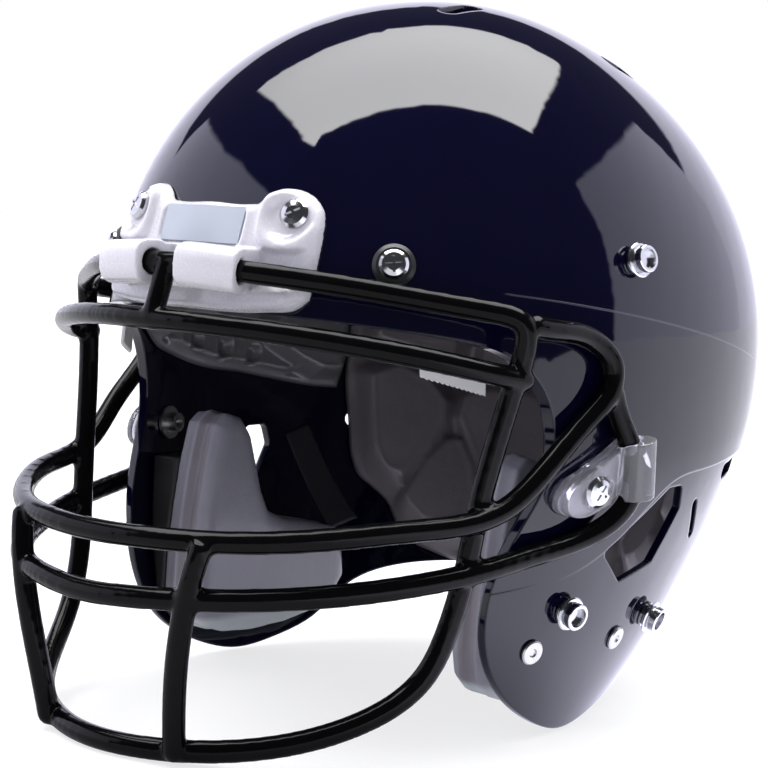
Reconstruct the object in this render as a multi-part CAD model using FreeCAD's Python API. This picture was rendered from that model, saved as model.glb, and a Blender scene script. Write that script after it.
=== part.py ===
"""American football helmet: shell, wire face mask, fittings, jaw pads and liner.

Sizes are in millimetres. X runs to the wearer's left, Y to the back, Z up. The shell is drawn about
its own origin, near the middle of the dome, and PLACE moves every piece so that it stands on z = 0.
"""
import FreeCAD, Part
import math
import os

from FreeCAD import Vector

os.makedirs("parts", exist_ok=True)

# ---- placing -------------------------------------------------------------------------------------
PLACE = Vector(0, 29.75, 151.2)        # puts the jaw flaps and chin wire on the ground
CENTRE = Vector(0, -14.97, -5.28)      # middle of the dome
TILT = -10.93                          # degrees, nose down about X

# ---- shell ---------------------------------------------------------------------------------------
# half width, front, rear, up, drop at the sides, drop at the rear, upright power, plan power
UPPER = (117.3, 135.2, 156.9, 130.2, 227.4, 161.5, 2.03, 2.16)
LOWER = (116.5, 133.5, 154.1, 130.2, 266.8, 146.5, 1.90, 2.13)
CAVITY = (112.7, 129.4, 149.8, 126.0, 262.0, 142.2, 1.95, 2.13)
LEDGE_OVERLAP = 2.0
NET_ROUND = 24                         # control points round the dome
NET_UP = 19                            # rows of control points from bottom to top

# side view (y, z): where the upper shell overhangs the lower one
LEDGE = [(-190, -98), (-100, -95), (-70, -90), (-46, -81), (-25, -66.5), (-6, -55), (17, -52),
         (58, -49), (100, -46.5), (190, -44)]
# side view (y, z): brow, face opening, jaw flap and neck edge
EDGE = [(-175, 3), (-141, 1.8), (-117, -1.5), (-103, -4), (-94, -7.5), (-86, -13.5), (-80, -22),
        (-76.5, -33), (-76, -45), (-80, -58), (-86, -71), (-90.5, -84), (-92, -97), (-90.5, -109),
        (-85.5, -121), (-75.5, -132.8), (-58, -143.6), (-34, -150.4), (-12, -147.6), (9, -140.3),
        (26, -129.5), (40, -123), (55, -119), (75, -116), (105, -113.5), (175, -112)]
EAR_HOLE = [(-44, -79.5), (-29.4, -92.1), (-8.5, -86.5), (5, -66), (3.4, -57.2), (-7, -57.5)]
EAR_CORNER = 2.5
SIDE_SLOT = ((19.5, -66.5), (24.0, -78.0), 2.4)       # two ends in side view, and half width
REAR_VENT = ((50.0, -56.0), (68.0, -55.0), 3.2)
CROWN_VENTS = [(28.5, -44.0, 22.0, 8.5), (60.0, 18.0, 18.0, 7.5)]   # x, y, length, width

# ---- mask ----------------------------------------------------------------------------------------
WIRE_RADIUS = 3.6
TOP_BAR = [(0, -164, 18.8), (29, -160, 17.6), (58.2, -144.6, 14.9), (85, -124.5, 11),
           (103, -110.5, 8.2), (111.2, -103.6, 4.2), (111.4, -102.6, -3), (109.6, -103.4, -13)]
BROW_BAR = [(0, -170.6, -0.9), (34.7, -164.6, -1.6), (70.9, -147, -4.8), (96, -127.5, -9),
            (106.5, -114.5, -12), (110.5, -101, -14.4)]
UPPER_WIRE = [(0, -195, -73.2), (23.9, -192.4, -72.8), (45.7, -184.3, -72.2), (74.5, -162.7, -69.5),
              (94, -136.5, -65.8), (103.5, -114.5, -63.2), (107.5, -101.5, -58.4),
              (112.3, -84.5, -43.6), (115.6, -66.4, -27.5), (118, -59, -18.3), (117.8, -58.2, -9.3),
              (115.6, -66.4, -1.5), (114.4, -83, 2.4), (112.2, -100.5, 4.6)]
LOWER_WIRE = [(0, -196.9, -94.3), (22.1, -194.4, -93.3), (42, -187.7, -92), (71.4, -164.5, -89.3),
              (90.3, -137.6, -85.7), (101.4, -112.1, -81.6), (106.8, -84.5, -77), (112.4, -62.5, -72),
              (119.4, -48.2, -61.5), (121.6, -44.8, -50), (119.2, -49.1, -34.5), (118.1, -57.1, -18.6)]
CHIN_WIRE = [(0, -187.5, -147.6), (30, -180.5, -146.9), (56, -165.4, -143.4), (78, -142.2, -134.5),
             (91, -122.6, -118.5), (95.8, -115, -98.3), (98.8, -112.2, -80.2), (100.9, -110.4, -61.7),
             (104.6, -106.8, -36.6), (108.8, -103.6, -15)]
FRONT_POST = [(45.9, -187, -73), (41.9, -189.6, -92), (36.3, -187.6, -120), (32.6, -183, -146.2)]
CENTRE_POST = [(0, -165.4, 17.5), (0, -171, 0)]
CENTRE_POST_RADIUS = 3.4

# ---- front bumper --------------------------------------------------------------------------------
# front view (x, z), one half from the middle outwards
BUMPER_HALF = [(0, 41.5), (20.5, 41.5), (23, 45), (28.5, 47.5), (36, 46.8), (43, 42.4), (47.2, 35.5),
               (47.6, 22), (47.4, 8), (43, 4.6), (34, 3.4), (0, 2.6)]
BUMPER_THICK = 6.0
BUMPER_LIP = 9.0                       # depth of the lower lip
PLATE_POCKET = (20.5, 25.5, 40.5)      # half width, bottom, top
HOOK_SPAN = (5.5, 32.5)                # along the top bar, each side
HOOK_RADIUS = 8.0
SEAT_GAP = 0.15
NAME_PLATE_THICK = 1.2

# ---- fasteners -----------------------------------------------------------------------------------
BUMPER_SCREW_AT = (36.2, -134, 35.0)
BROW_SCREW_AT = (69.7, -124.5, 22.0)
CLIP_SCREW_AT = (109.5, -60.5, -53.5)
SNAP_CAP_RADIUS = 5.0
SNAP_AT = [(112.5, -40.5, 27.4), (103.1, -57.5, -100.4), (99.5, 1.1, -108.6)]
RIVET_AT = [(97.7, -69.6, -115.0), (100.0, -19.6, -115.3)]
SHANK_RADIUS = 2.4
BARREL_RADIUS = 3.2
FIT = 0.06                             # gap of a running fit
FLANGE_GAP = 0.5                       # a flat flange inside the curved wall

# ---- side clips ----------------------------------------------------------------------------------
CLIP_LEG = [(-64, -54.5, 11.5), (-44, -48.5, 12.5)]   # side view y, z and half height at each end
CLIP_FOOT = 0.4                        # height of the inner leg above the shell
CLIP_TOP = 7.6
CLIP_SLIT = (3.4, 4.6)                 # the gap between the two legs
CLIP_LOOP_RADIUS = 6.9

# ---- jaw pads (side view y, z) -------------------------------------------------------------------
JAW_OUTLINE = [(-62, -45.5), (-68, -50), (-72, -66), (-75, -85), (-77, -103), (-77.5, -119),
               (-75.5, -128.5), (-69, -134.5), (-58, -138), (-42, -139), (-22, -138), (-4, -135),
               (8, -129), (15, -121), (14, -111), (10.5, -99), (-7, -95.5), (-24, -92.5), (-35, -88),
               (-40, -79), (-44, -67), (-48, -55), (-54, -47.5)]
JAW_FACE_X = 65.0
JAW_GAP = 0.9
BACKING_THICK = 2.4
SNAP_HEAD = (4.0, 3.0)                 # radius and length of the inner snap head
CLIP_NOTCH = (86.0, -80.0, -66.0)      # lowest corner of the room cut for the side clip's T nut

# ---- liner ---------------------------------------------------------------------------------------
LINER_GAP = 0.8
LINER_THICK = 17.0


def mirrored(shape):
    """The same shape on the wearer's other side."""
    return shape.mirror(Vector(0, 0, 0), Vector(1, 0, 0))


def both(shape):
    """A piece and its twin on the other side."""
    return [shape, mirrored(shape)]


def export(name, solids):
    """Writes one node. Several solids go in as one compound."""
    solids = solids if isinstance(solids, list) else [solids]
    placed = []
    for solid in solids:
        copy = solid.copy()
        copy.translate(PLACE)
        placed += copy.Solids
    node = placed[0] if len(placed) == 1 else Part.makeCompound(placed)
    node.exportStep("parts/" + name + ".step")
    box = node.optimalBoundingBox()
    print(name, "solids", len(placed), "valid", node.isValid(), "volume", round(node.Volume),
          "box", [round(v, 1) for v in (box.XMin, box.YMin, box.ZMin, box.XMax, box.YMax, box.ZMax)])


# ---- the dome ------------------------------------------------------------------------------------
def grow(dome, amount):
    """The same dome, larger by an amount all round."""
    return tuple(v + amount for v in dome[:6]) + dome[6:]


def reach(dome, x, y, z):
    """Distance from the middle of the dome to its surface along a unit direction."""
    half, front, rear, up, side_drop, rear_drop, upright, plan = dome
    depth = front if y < 0 else rear
    flat = math.hypot(x / half, y / depth) + 1e-9
    weight = ((1 + (y / depth) / flat) / 2) ** 2
    height = up if z > 0 else side_drop + (rear_drop - side_drop) * weight
    ring = abs(x / half) ** plan + abs(y / depth) ** plan
    return (ring ** (upright / plan) + abs(z / height) ** upright) ** (-1 / upright)


def turn(vector, degrees):
    """A vector turned about X."""
    c, s = math.cos(math.radians(degrees)), math.sin(math.radians(degrees))
    return Vector(vector.x, vector.y * c - vector.z * s, vector.y * s + vector.z * c)


def dome_point(dome, azimuth, elevation):
    """A point of the surface. Azimuth 0 is the front and runs to the wearer's left."""
    a, e = math.radians(azimuth), math.radians(elevation)
    direction = Vector(math.sin(a) * math.cos(e), -math.cos(a) * math.cos(e), math.sin(e))
    distance = reach(dome, direction.x, direction.y, direction.z)
    return CENTRE + turn(direction * distance, TILT)


def dome_solid(dome):
    """A smooth closed solid through the formula's points: a periodic cubic surface with two poles."""
    rows, columns = NET_UP, NET_ROUND
    knots = list(range(rows - 2))
    row_at = [sum(max(0, min(rows - 3, k)) for k in (j - 2, j - 1, j)) / 3 for j in range(rows)]
    span = rows - 3
    wanted = []
    for j in range(rows):
        elevation = -90 + 180 * row_at[j] / span
        wanted.append([dome_point(dome, 360.0 * i / columns, elevation) for i in range(columns)])
    poles = [list(row) for row in wanted]
    surface = None
    for step in range(9):
        for row, pole in ((1, poles[0][0]), (rows - 2, poles[-1][0])):
            centre = sum(poles[row], Vector()) * (1.0 / columns)
            shift = (pole - centre).dot(turn(Vector(0, 0, 1), TILT))
            poles[row] = [p + turn(Vector(0, 0, shift), TILT) for p in poles[row]]
        surface = Part.BSplineSurface()
        net = [[poles[j][i] for j in range(rows)] for i in range(columns)]
        surface.buildFromPolesMultsKnots(net, [1] * (columns + 1), [4] + [1] * (span - 1) + [4],
                                         list(range(columns + 1)), knots, True, False, 3, 3)
        for j in range(1, rows - 1):
            for i in range(columns):
                at = surface.value((i - 1) % columns, row_at[j])
                poles[j][i] = poles[j][i] + (wanted[j][i] - at)
    solid = Part.Solid(Part.Shell([surface.toShape()]))
    if solid.Volume < 0:
        solid.reverse()
    return solid


def seat(dome, at):
    """(point, outward normal) of the surface nearest the line from the dome's middle to a point."""
    line = turn(Vector(*at) - CENTRE, -TILT)
    line.normalize()
    elevation = math.degrees(math.asin(line.z))
    azimuth = math.degrees(math.atan2(line.x, -line.y))
    across = dome_point(dome, azimuth + 0.2, elevation) - dome_point(dome, azimuth - 0.2, elevation)
    upward = dome_point(dome, azimuth, elevation + 0.2) - dome_point(dome, azimuth, elevation - 0.2)
    normal = across.cross(upward)
    normal.normalize()
    return dome_point(dome, azimuth, elevation), normal


# ---- helpers -------------------------------------------------------------------------------------
def side_prism(outline, x0, x1, smooth=False, closing=()):
    """A prism along X from a side view outline (y, z)."""
    points = [Vector(x0, y, z) for y, z in outline]
    if smooth:
        curve = Part.BSplineCurve()
        curve.interpolate(points)
        edges = [curve.toShape()]
    else:
        edges = [Part.makeLine(a, b) for a, b in zip(points, points[1:])]
    corners = [points[-1]] + [Vector(x0, y, z) for y, z in closing] + [points[0]]
    edges += [Part.makeLine(a, b) for a, b in zip(corners, corners[1:])]
    return Part.Face(Part.Wire(edges)).extrude(Vector(x1 - x0, 0, 0))


def front_prism(outline, y0, y1):
    """A prism along Y from a closed front view outline (x, z)."""
    points = [Vector(x, y0, z) for x, z in outline]
    return Part.Face(Part.makePolygon(points + [points[0]])).extrude(Vector(0, y1 - y0, 0))


def slot_prism(ends, x0, x1):
    """A round ended slot along X, from two ends in side view and a half width."""
    (ya, za), (yb, zb), radius = ends
    a, b = Vector(x0, ya, za), Vector(x0, yb, zb)
    along = Vector(x1 - x0, 0, 0)
    side = (b - a).cross(Vector(1, 0, 0))
    side.normalize()
    side = side * radius
    bar = Part.Face(Part.makePolygon([a + side, b + side, b - side, a - side, a + side]))
    solid = bar.extrude(along)
    for end in (a, b):
        solid = solid.fuse(Part.makeCylinder(radius, along.Length, end, along))
    return solid


def turned(profile, base, axis):
    """A turned piece from (radius, height) points, standing on base along axis."""
    points = [Vector(r, 0, h) for r, h in profile]
    face = Part.Face(Part.makePolygon(points + [points[0]]))
    solid = face.revolve(Vector(0, 0, 0), Vector(0, 0, 1), 360)
    solid = Part.Solid(Part.Shell(solid.Faces)) if not solid.Solids else solid.Solids[0]
    solid.Placement = FreeCAD.Placement(base, FreeCAD.Rotation(Vector(0, 0, 1), axis))
    return solid


def rod(radius, start, axis, length):
    """A plain cylinder."""
    return Part.makeCylinder(radius, length, start, axis)


def wire_pipe(points, radius, across=False, round_start=False, round_end=False):
    """A round wire on a smooth line. across carries it on to the wearer's other side."""
    line = [Vector(*p) for p in points]
    if across:
        line = [Vector(-p.x, p.y, p.z) for p in reversed(line[1:])] + line
    curve = Part.BSplineCurve()
    curve.interpolate(line)
    spine = Part.Wire([curve.toShape()])
    start = curve.value(curve.FirstParameter)
    tangent = curve.tangent(curve.FirstParameter)[0]
    ring = Part.Wire([Part.makeCircle(radius, start, tangent)])
    solid = spine.makePipeShell([ring], True, True)
    if round_start:
        solid = solid.fuse(Part.makeSphere(radius, start))
    if round_end:
        solid = solid.fuse(Part.makeSphere(radius, curve.value(curve.LastParameter)))
    return solid


# ---- shell ---------------------------------------------------------------------------------------
def make_shell():
    """The moulded shell, with its openings and fastener holes."""
    ledge_raised = [(y, z + LEDGE_OVERLAP) for y, z in LEDGE]
    below = side_prism(LEDGE, -150, 150, True, [(190, -230), (-190, -230)])
    below_raised = side_prism(ledge_raised, -150, 150, True, [(190, -230), (-190, -230)])
    upper = dome_solid(UPPER).cut(below)
    lower = dome_solid(LOWER).common(below_raised)
    outer = upper.fuse(lower)
    keep = side_prism(EDGE, -150, 150, True, [(175, 170), (-175, 170)])
    shell = outer.cut(dome_solid(CAVITY)).common(keep)
    hole = side_prism(EAR_HOLE, -150, 150)
    corners = [e for e in hole.Edges if abs(e.Length - 300) < 0.01]
    shell = shell.cut(hole.makeFillet(EAR_CORNER, corners))
    cutters = []
    for x0, x1 in ((60, 150), (-150, -60)):
        cutters.append(slot_prism(SIDE_SLOT, x0, x1))
        cutters.append(slot_prism(REAR_VENT, x0, x1))
    for x, y, length, width in CROWN_VENTS:
        vent = Part.makeBox(width, length - width, 60, Vector(x - width / 2, y - (length - width) / 2, 80))
        for end in (-1, 1):
            middle = Vector(x, y + end * (length - width) / 2, 80)
            vent = vent.fuse(Part.makeCylinder(width / 2, 60, middle, Vector(0, 0, 1)))
        cutters += both(vent)
    bores = [(UPPER, BUMPER_SCREW_AT, BARREL_RADIUS), (UPPER, BROW_SCREW_AT, BARREL_RADIUS),
             (UPPER, CLIP_SCREW_AT, BARREL_RADIUS)]
    bores += [(UPPER, SNAP_AT[0], BARREL_RADIUS)] + [(LOWER, at, BARREL_RADIUS) for at in SNAP_AT[1:]]
    bores += [(LOWER, at, BARREL_RADIUS) for at in RIVET_AT]
    for dome, at, radius in bores:
        point, normal = seat(dome, at)
        cutters += both(rod(radius + FIT, point - normal * 14, normal, 20))
    for cutter in cutters:
        shell = shell.cut(cutter)
    return max(shell.Solids, key=lambda s: s.Volume)


# ---- mask ----------------------------------------------------------------------------------------
def make_mask():
    """The welded wires of the face mask, one solid for each bent wire."""
    export("top_bar", wire_pipe(TOP_BAR, WIRE_RADIUS, across=True))
    export("brow_bar", wire_pipe(BROW_BAR, WIRE_RADIUS, True, True, True))
    export("upper_wire", wire_pipe(UPPER_WIRE, WIRE_RADIUS, across=True))
    export("lower_wire", wire_pipe(LOWER_WIRE, WIRE_RADIUS, across=True))
    export("chin_wire", wire_pipe(CHIN_WIRE, WIRE_RADIUS, across=True))
    post = wire_pipe(FRONT_POST, WIRE_RADIUS, False, False, True)
    export("front_post_left", post)
    export("front_post_right", mirrored(post))
    export("centre_post", wire_pipe(CENTRE_POST, CENTRE_POST_RADIUS, False, True, True))


# ---- front bumper --------------------------------------------------------------------------------
def make_bumper():
    """The forehead bumper, its blank plate, screws and T nuts."""
    outline = BUMPER_HALF + [(-x, z) for x, z in reversed(BUMPER_HALF[1:-1])]
    skin = dome_solid(grow(UPPER, SEAT_GAP))
    body = dome_solid(grow(UPPER, BUMPER_THICK)).common(front_prism(outline, -175, -100))
    lip = dome_solid(grow(UPPER, BUMPER_LIP))
    lip = lip.common(Part.makeBox(88, 40, 8.4, Vector(-44, -175, 4.6)))
    bumper = body.fuse(lip)
    bar_clear = wire_pipe(TOP_BAR, WIRE_RADIUS + FIT, across=True)
    sleeve = wire_pipe(TOP_BAR, HOOK_RADIUS, across=True)
    low, high = HOOK_SPAN
    for x0 in (low, -high):
        span = Part.makeBox(high - low, 60, 60, Vector(x0, -190, -10))
        bumper = bumper.fuse(sleeve.common(span))
        bumper = bumper.fuse(Part.makeBox(high - low, 22, 13.5, Vector(x0, -164, 11.5)))
    bumper = bumper.cut(bar_clear).cut(skin)
    brow_clear = wire_pipe(BROW_BAR, WIRE_RADIUS + FIT, across=True)
    post_clear = wire_pipe(CENTRE_POST, CENTRE_POST_RADIUS + FIT, False, True, True)
    bumper = bumper.cut(brow_clear).cut(post_clear)
    half, bottom, top = PLATE_POCKET
    window = Part.makeBox(2 * half, 60, top - bottom, Vector(-half, -190, bottom))
    pocket = window.cut(dome_solid(grow(UPPER, BUMPER_THICK - NAME_PLATE_THICK - 0.6)))
    hooks = sleeve.common(Part.makeBox(2 * high, 60, 60, Vector(-high, -190, -10)))
    bumper = bumper.cut(pocket.cut(hooks))
    plate_window = Part.makeBox(2 * half - 2, 60, top - bottom - 2, Vector(1 - half, -190, bottom + 1))
    plate = plate_window.common(dome_solid(grow(UPPER, BUMPER_THICK - 0.6)))
    plate = plate.cut(dome_solid(grow(UPPER, BUMPER_THICK - NAME_PLATE_THICK - 0.6)))
    export("name_plate", plate.cut(hooks).cut(bar_clear))
    point, normal = seat(UPPER, BUMPER_SCREW_AT)
    top_at = BUMPER_THICK - 0.9
    for solid in both(rod(7.0, point + normal * top_at, normal, 12)):
        bumper = bumper.cut(solid)
    for solid in both(rod(SHANK_RADIUS + FIT, point - normal * 2, normal, 20)):
        bumper = bumper.cut(solid)
    export("front_bumper", max(bumper.Solids, key=lambda s: s.Volume))
    screw = make_screw(point, normal, top_at + FIT, 5.4)
    export("bumper_screw_left", screw)
    export("bumper_screw_right", mirrored(screw))
    export("bumper_tnuts", both(make_tnut(UPPER, BUMPER_SCREW_AT)))
    print("bumper screw axis", [round(v, 6) for v in normal])


def make_screw(point, normal, head_at, head_radius, shank_to=-9.0):
    """A pan head screw whose head sits head_at above the shell."""
    height = head_radius * 0.52
    profile = [(0, shank_to), (SHANK_RADIUS, shank_to), (SHANK_RADIUS, head_at), (head_radius, head_at),
               (head_radius, head_at + height * 0.4), (head_radius * 0.8, head_at + height * 0.8),
               (head_radius * 0.45, head_at + height), (0, head_at + height)]
    screw = turned(profile, point, normal)
    for degrees in (45, 135):
        arm = Part.makeBox(head_radius * 1.1, 1.0, 1.6, Vector(-head_radius * 0.55, -0.5, -0.8))
        arm.rotate(Vector(0, 0, 0), Vector(0, 0, 1), degrees)
        arm.translate(Vector(0, 0, head_at + height))
        arm.Placement = FreeCAD.Placement(point, FreeCAD.Rotation(Vector(0, 0, 1), normal)) \
            .multiply(arm.Placement)
        screw = screw.cut(arm)
    return screw


def make_tnut(dome, at):
    """A T nut: its flange inside the shell, its barrel in the shell's hole."""
    bore = SHANK_RADIUS + FIT
    point, normal = seat(dome, at)
    inner = seat(CAVITY, at)[0]
    wall = (point - inner).dot(normal) + FLANGE_GAP
    profile = [(bore, -0.6), (BARREL_RADIUS, -0.6), (BARREL_RADIUS, -wall), (7.0, -wall),
               (7.0, -wall - 1.3), (BARREL_RADIUS + 0.8, -wall - 1.3), (BARREL_RADIUS + 0.8, -wall - 5.5),
               (bore, -wall - 5.5)]
    return turned(profile, point, normal)


# ---- fasteners -----------------------------------------------------------------------------------
def make_fasteners():
    """Brow screws with washers, chin strap snap studs, and the jaw pad rivets."""
    point, normal = seat(UPPER, BROW_SCREW_AT)
    washer = turned([(SHANK_RADIUS + FIT, 0.4), (7.6, 0.4), (7.6, 1.4), (6.2, 2.4),
                     (SHANK_RADIUS + FIT, 2.4)], point, normal)
    export("brow_washers", both(washer))
    export("brow_screws", both(make_screw(point, normal, 2.4 + FIT, 5.2)))
    export("brow_tnuts", both(make_tnut(UPPER, BROW_SCREW_AT)))
    studs, nuts = [], []
    for dome, at in zip((UPPER, LOWER, LOWER), SNAP_AT):
        point, normal = seat(dome, at)
        profile = [(0, -8.6), (SHANK_RADIUS, -8.6), (SHANK_RADIUS, 0.3), (5.0, 0.3), (5.0, 1.2),
                   (4.5, 1.7), (4.5, 2.2), (6.0, 2.5), (6.4, 3.0), (6.0, 3.5), (4.4, 3.8), (4.4, 4.2),
                   (SNAP_CAP_RADIUS, 4.5), (SNAP_CAP_RADIUS, 6.7), (4.7, 7.0), (3.7, 7.0), (3.5, 4.8),
                   (0, 4.8)]
        studs += both(turned(profile, point, normal))
        nuts += both(make_tnut(dome, at))
        print("snap", [round(v, 5) for v in point + normal * 5.6 + PLACE], [round(v, 6) for v in normal])
    export("snap_studs", studs)
    export("snap_tnuts", nuts)
    rivets = []
    for at in RIVET_AT:
        point, normal = seat(LOWER, at)
        disc = turned([(0, 0.15), (4.7, 0.15), (4.7, 0.9), (4.2, 1.4), (1.7, 1.4), (1.2, 0.8), (0, 0.8)],
                      point, normal)
        stem = rod(SHANK_RADIUS, point - normal * 5.5, normal, 5.9)
        radius, length = SNAP_HEAD
        inner = point - normal * 5.5
        head = rod(radius, inner + Vector(0.6, 0, 0), Vector(-1, 0, 0), length)
        rivets += both(disc.fuse(stem).fuse(head))
    export("jaw_rivets", rivets)


# ---- side clips ----------------------------------------------------------------------------------
def make_clips():
    """The clear straps that hold the mask's side wires, their screws and T nuts."""
    (ya, za, ra), (yb, zb, rb) = CLIP_LEG
    a, b = Vector(60, ya, za), Vector(60, yb, zb)
    side = (b - a).cross(Vector(1, 0, 0))
    side.normalize()
    corners = [a + side * ra, b + side * rb, b - side * rb, a - side * ra]
    outline = Part.Face(Part.makePolygon(corners + [corners[0]])).extrude(Vector(90, 0, 0))
    outline = outline.fuse(rod(ra, a, Vector(1, 0, 0), 90))
    strap = outline.common(dome_solid(grow(UPPER, CLIP_TOP)))
    line = Part.BSplineCurve()
    line.interpolate([Vector(*p) for p in LOWER_WIRE])
    loop_at = line.parameter(Vector(*LOWER_WIRE[9]))
    middle = line.value(loop_at)
    along = line.tangent(loop_at)[0]
    loop = rod(CLIP_LOOP_RADIUS, middle - along * rb, along, 2 * rb)
    strap = strap.fuse(loop)
    low, high = CLIP_SLIT
    slit = dome_solid(grow(UPPER, high)).cut(dome_solid(grow(UPPER, low)))
    slit = slit.common(Part.makeBox(60, 60, 60, Vector(80, -110, -80)))
    strap = strap.cut(slit.cut(rod(CLIP_LOOP_RADIUS - 1.6, middle - along * 20, along, 40)))
    strap = strap.cut(wire_pipe(LOWER_WIRE, WIRE_RADIUS + FIT)).cut(dome_solid(grow(UPPER, CLIP_FOOT)))
    strap = strap.cut(dome_solid(grow(LOWER, CLIP_FOOT)))
    point, normal = seat(UPPER, CLIP_SCREW_AT)
    strap = strap.cut(rod(SHANK_RADIUS + FIT, point - normal * 2, normal, 24))
    strap = strap.cut(rod(7.2, point + normal * (CLIP_TOP - 1.0), normal, 12))
    solid = max(strap.Solids, key=lambda s: s.Volume)
    export("left_clip", solid)
    export("right_clip", mirrored(solid))
    screw = make_screw(point, normal, CLIP_TOP - 1.0 + FIT, 5.8)
    export("clip_screw_left", screw)
    export("clip_screw_right", mirrored(screw))
    export("clip_tnuts", both(make_tnut(UPPER, CLIP_SCREW_AT)))
    print("clip screw axis", [round(v, 6) for v in normal])


# ---- jaw pads ------------------------------------------------------------------------------------
def make_jaw_pads():
    """The jaw cushions on their stiff backings, which snap on to the rivets."""
    prism = side_prism(JAW_OUTLINE[:], JAW_FACE_X, 130)
    inner = dome_solid(grow(CAVITY, -JAW_GAP))
    face = dome_solid(grow(CAVITY, -JAW_GAP - BACKING_THICK))
    backing = prism.common(inner).cut(face)
    pad = prism.common(dome_solid(grow(CAVITY, -JAW_GAP - BACKING_THICK - 0.02)))
    backing = max(backing.Solids, key=lambda s: s.CenterOfMass.x)
    radius, length = SNAP_HEAD
    for at in RIVET_AT:
        point, normal = seat(LOWER, at)
        start = point - normal * 5.5 + Vector(6, 0, 0)
        backing = backing.cut(rod(radius + 0.4, start, Vector(-1, 0, 0), 20))
        pad = pad.cut(rod(radius + 1.0, start, Vector(-1, 0, 0), 6.6 + length + 3.0))
    clear = []
    for solid in (backing, pad):
        for at in SNAP_AT[1:]:
            point, normal = seat(LOWER, at)
            start = point - normal * 4 + Vector(6, 0, 0)
            solid = solid.cut(rod(8.2, start, Vector(-1, 0, 0), 20))
        solid = solid.cut(Part.makeBox(40, 40, 40, Vector(CLIP_NOTCH[0], CLIP_NOTCH[1], CLIP_NOTCH[2])))
        clear.append(max(solid.Solids, key=lambda s: s.Volume))
    export("left_jaw_backing", clear[0])
    export("right_jaw_backing", mirrored(clear[0]))
    export("left_jaw_pad", clear[1])
    export("right_jaw_pad", mirrored(clear[1]))


# ---- liner ---------------------------------------------------------------------------------------
def make_liner():
    """The cushions round the head, each a plain closed solid on the inside of the shell."""
    outside = dome_solid(grow(CAVITY, -LINER_GAP))
    inside = dome_solid(grow(CAVITY, -LINER_GAP - LINER_THICK))
    band = outside.cut(inside)

    def cushion(box, cuts=()):
        piece = band.common(box)
        for cut in cuts:
            piece = piece.cut(cut)
        return max(piece.Solids, key=lambda s: s.Volume)

    holes = []
    for at, dome in ((BUMPER_SCREW_AT, UPPER), (BROW_SCREW_AT, UPPER), (SNAP_AT[0], UPPER)):
        point, normal = seat(dome, at)
        holes += both(rod(8.0, point - normal * 15.0, normal, 13))
    brow = cushion(Part.makeBox(150, 70, 44, Vector(-75, -160, 6)), holes)
    export("brow_pad", brow)
    crown = cushion(Part.makeBox(120, 150, 60, Vector(-60, -80, 88)))
    export("crown_pad", crown)
    side = cushion(side_prism([(-78, 4), (-60, -38), (-42, -44), (34, -44), (34, 52), (-52, 52)], 40, 130), holes)
    export("left_liner", side)
    export("right_liner", mirrored(side))
    corner = cushion(side_prism([(37, -84), (140, -84), (140, 60), (56, 60), (37, 50)], 52, 130))
    export("rear_left_liner", corner)
    export("rear_right_liner", mirrored(corner))
    rear = cushion(Part.makeBox(98, 100, 166, Vector(-49, 60, -104)))
    export("rear_liner", rear)


def make_small_pieces():
    """The brow's hook and loop tabs and a blank label inside."""
    outside = dome_solid(grow(CAVITY, -0.3))
    inside = dome_solid(grow(CAVITY, -1.8))
    strip = outside.cut(inside)
    tab = strip.common(side_prism([(-111.5, -6), (-92.5, -12.5), (-92.5, -23.5), (-111.5, -17.8)], 60, 130))
    export("brow_tabs", both(max(tab.Solids, key=lambda s: s.Volume)))
    thin = dome_solid(grow(CAVITY, -0.05)).cut(dome_solid(grow(CAVITY, -0.45)))
    label = thin.common(side_prism([(18, -62), (28, -58), (47, -101), (37, -105)], -130, -60))
    export("inner_label", max(label.Solids, key=lambda s: s.Volume))


export("shell", make_shell())
make_mask()
make_bumper()
make_fasteners()
make_clips()
make_jaw_pads()
make_liner()
make_small_pieces()
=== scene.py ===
"""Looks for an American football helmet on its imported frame.

Every piece is in metres: X runs to the wearer's left, Y to the back and Z up. Shape sizes are given in
millimetres about the middle of the dome, as in the part's design, and PLACE moves them on to the frame.
"""

import logging
import math
from dataclasses import dataclass, field
from enum import Enum
from typing import Sequence, Union

import bmesh
import bpy
import numpy as np
from mathutils import Matrix, Vector


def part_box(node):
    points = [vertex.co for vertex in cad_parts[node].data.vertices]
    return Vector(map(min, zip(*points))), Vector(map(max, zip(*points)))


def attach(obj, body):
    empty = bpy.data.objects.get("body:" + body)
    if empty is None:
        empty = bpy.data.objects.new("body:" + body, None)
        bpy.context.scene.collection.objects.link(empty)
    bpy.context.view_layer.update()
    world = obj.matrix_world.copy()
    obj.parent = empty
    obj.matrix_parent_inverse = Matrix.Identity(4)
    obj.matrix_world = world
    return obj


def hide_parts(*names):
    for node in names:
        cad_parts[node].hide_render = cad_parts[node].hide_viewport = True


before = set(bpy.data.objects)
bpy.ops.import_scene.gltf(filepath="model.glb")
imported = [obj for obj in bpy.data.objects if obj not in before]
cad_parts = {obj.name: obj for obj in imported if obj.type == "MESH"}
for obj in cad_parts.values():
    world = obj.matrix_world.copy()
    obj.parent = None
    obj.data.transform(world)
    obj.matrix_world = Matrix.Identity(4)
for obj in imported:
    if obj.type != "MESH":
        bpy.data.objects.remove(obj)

LOG = logging.getLogger("helmet")
MM = 0.001
PLACE = Vector((0.0, 29.75, 151.2))
TILT = math.radians(-10.93)
DOME_MIDDLE = Vector((0.0, -14.97, -5.28))
Number = Union[float, "Socket"]


def placed(point: Sequence[float]) -> Vector:
    """A point of the design, in millimetres, as a point of the frame in metres."""
    return (Vector(point) + PLACE) * MM


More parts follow.
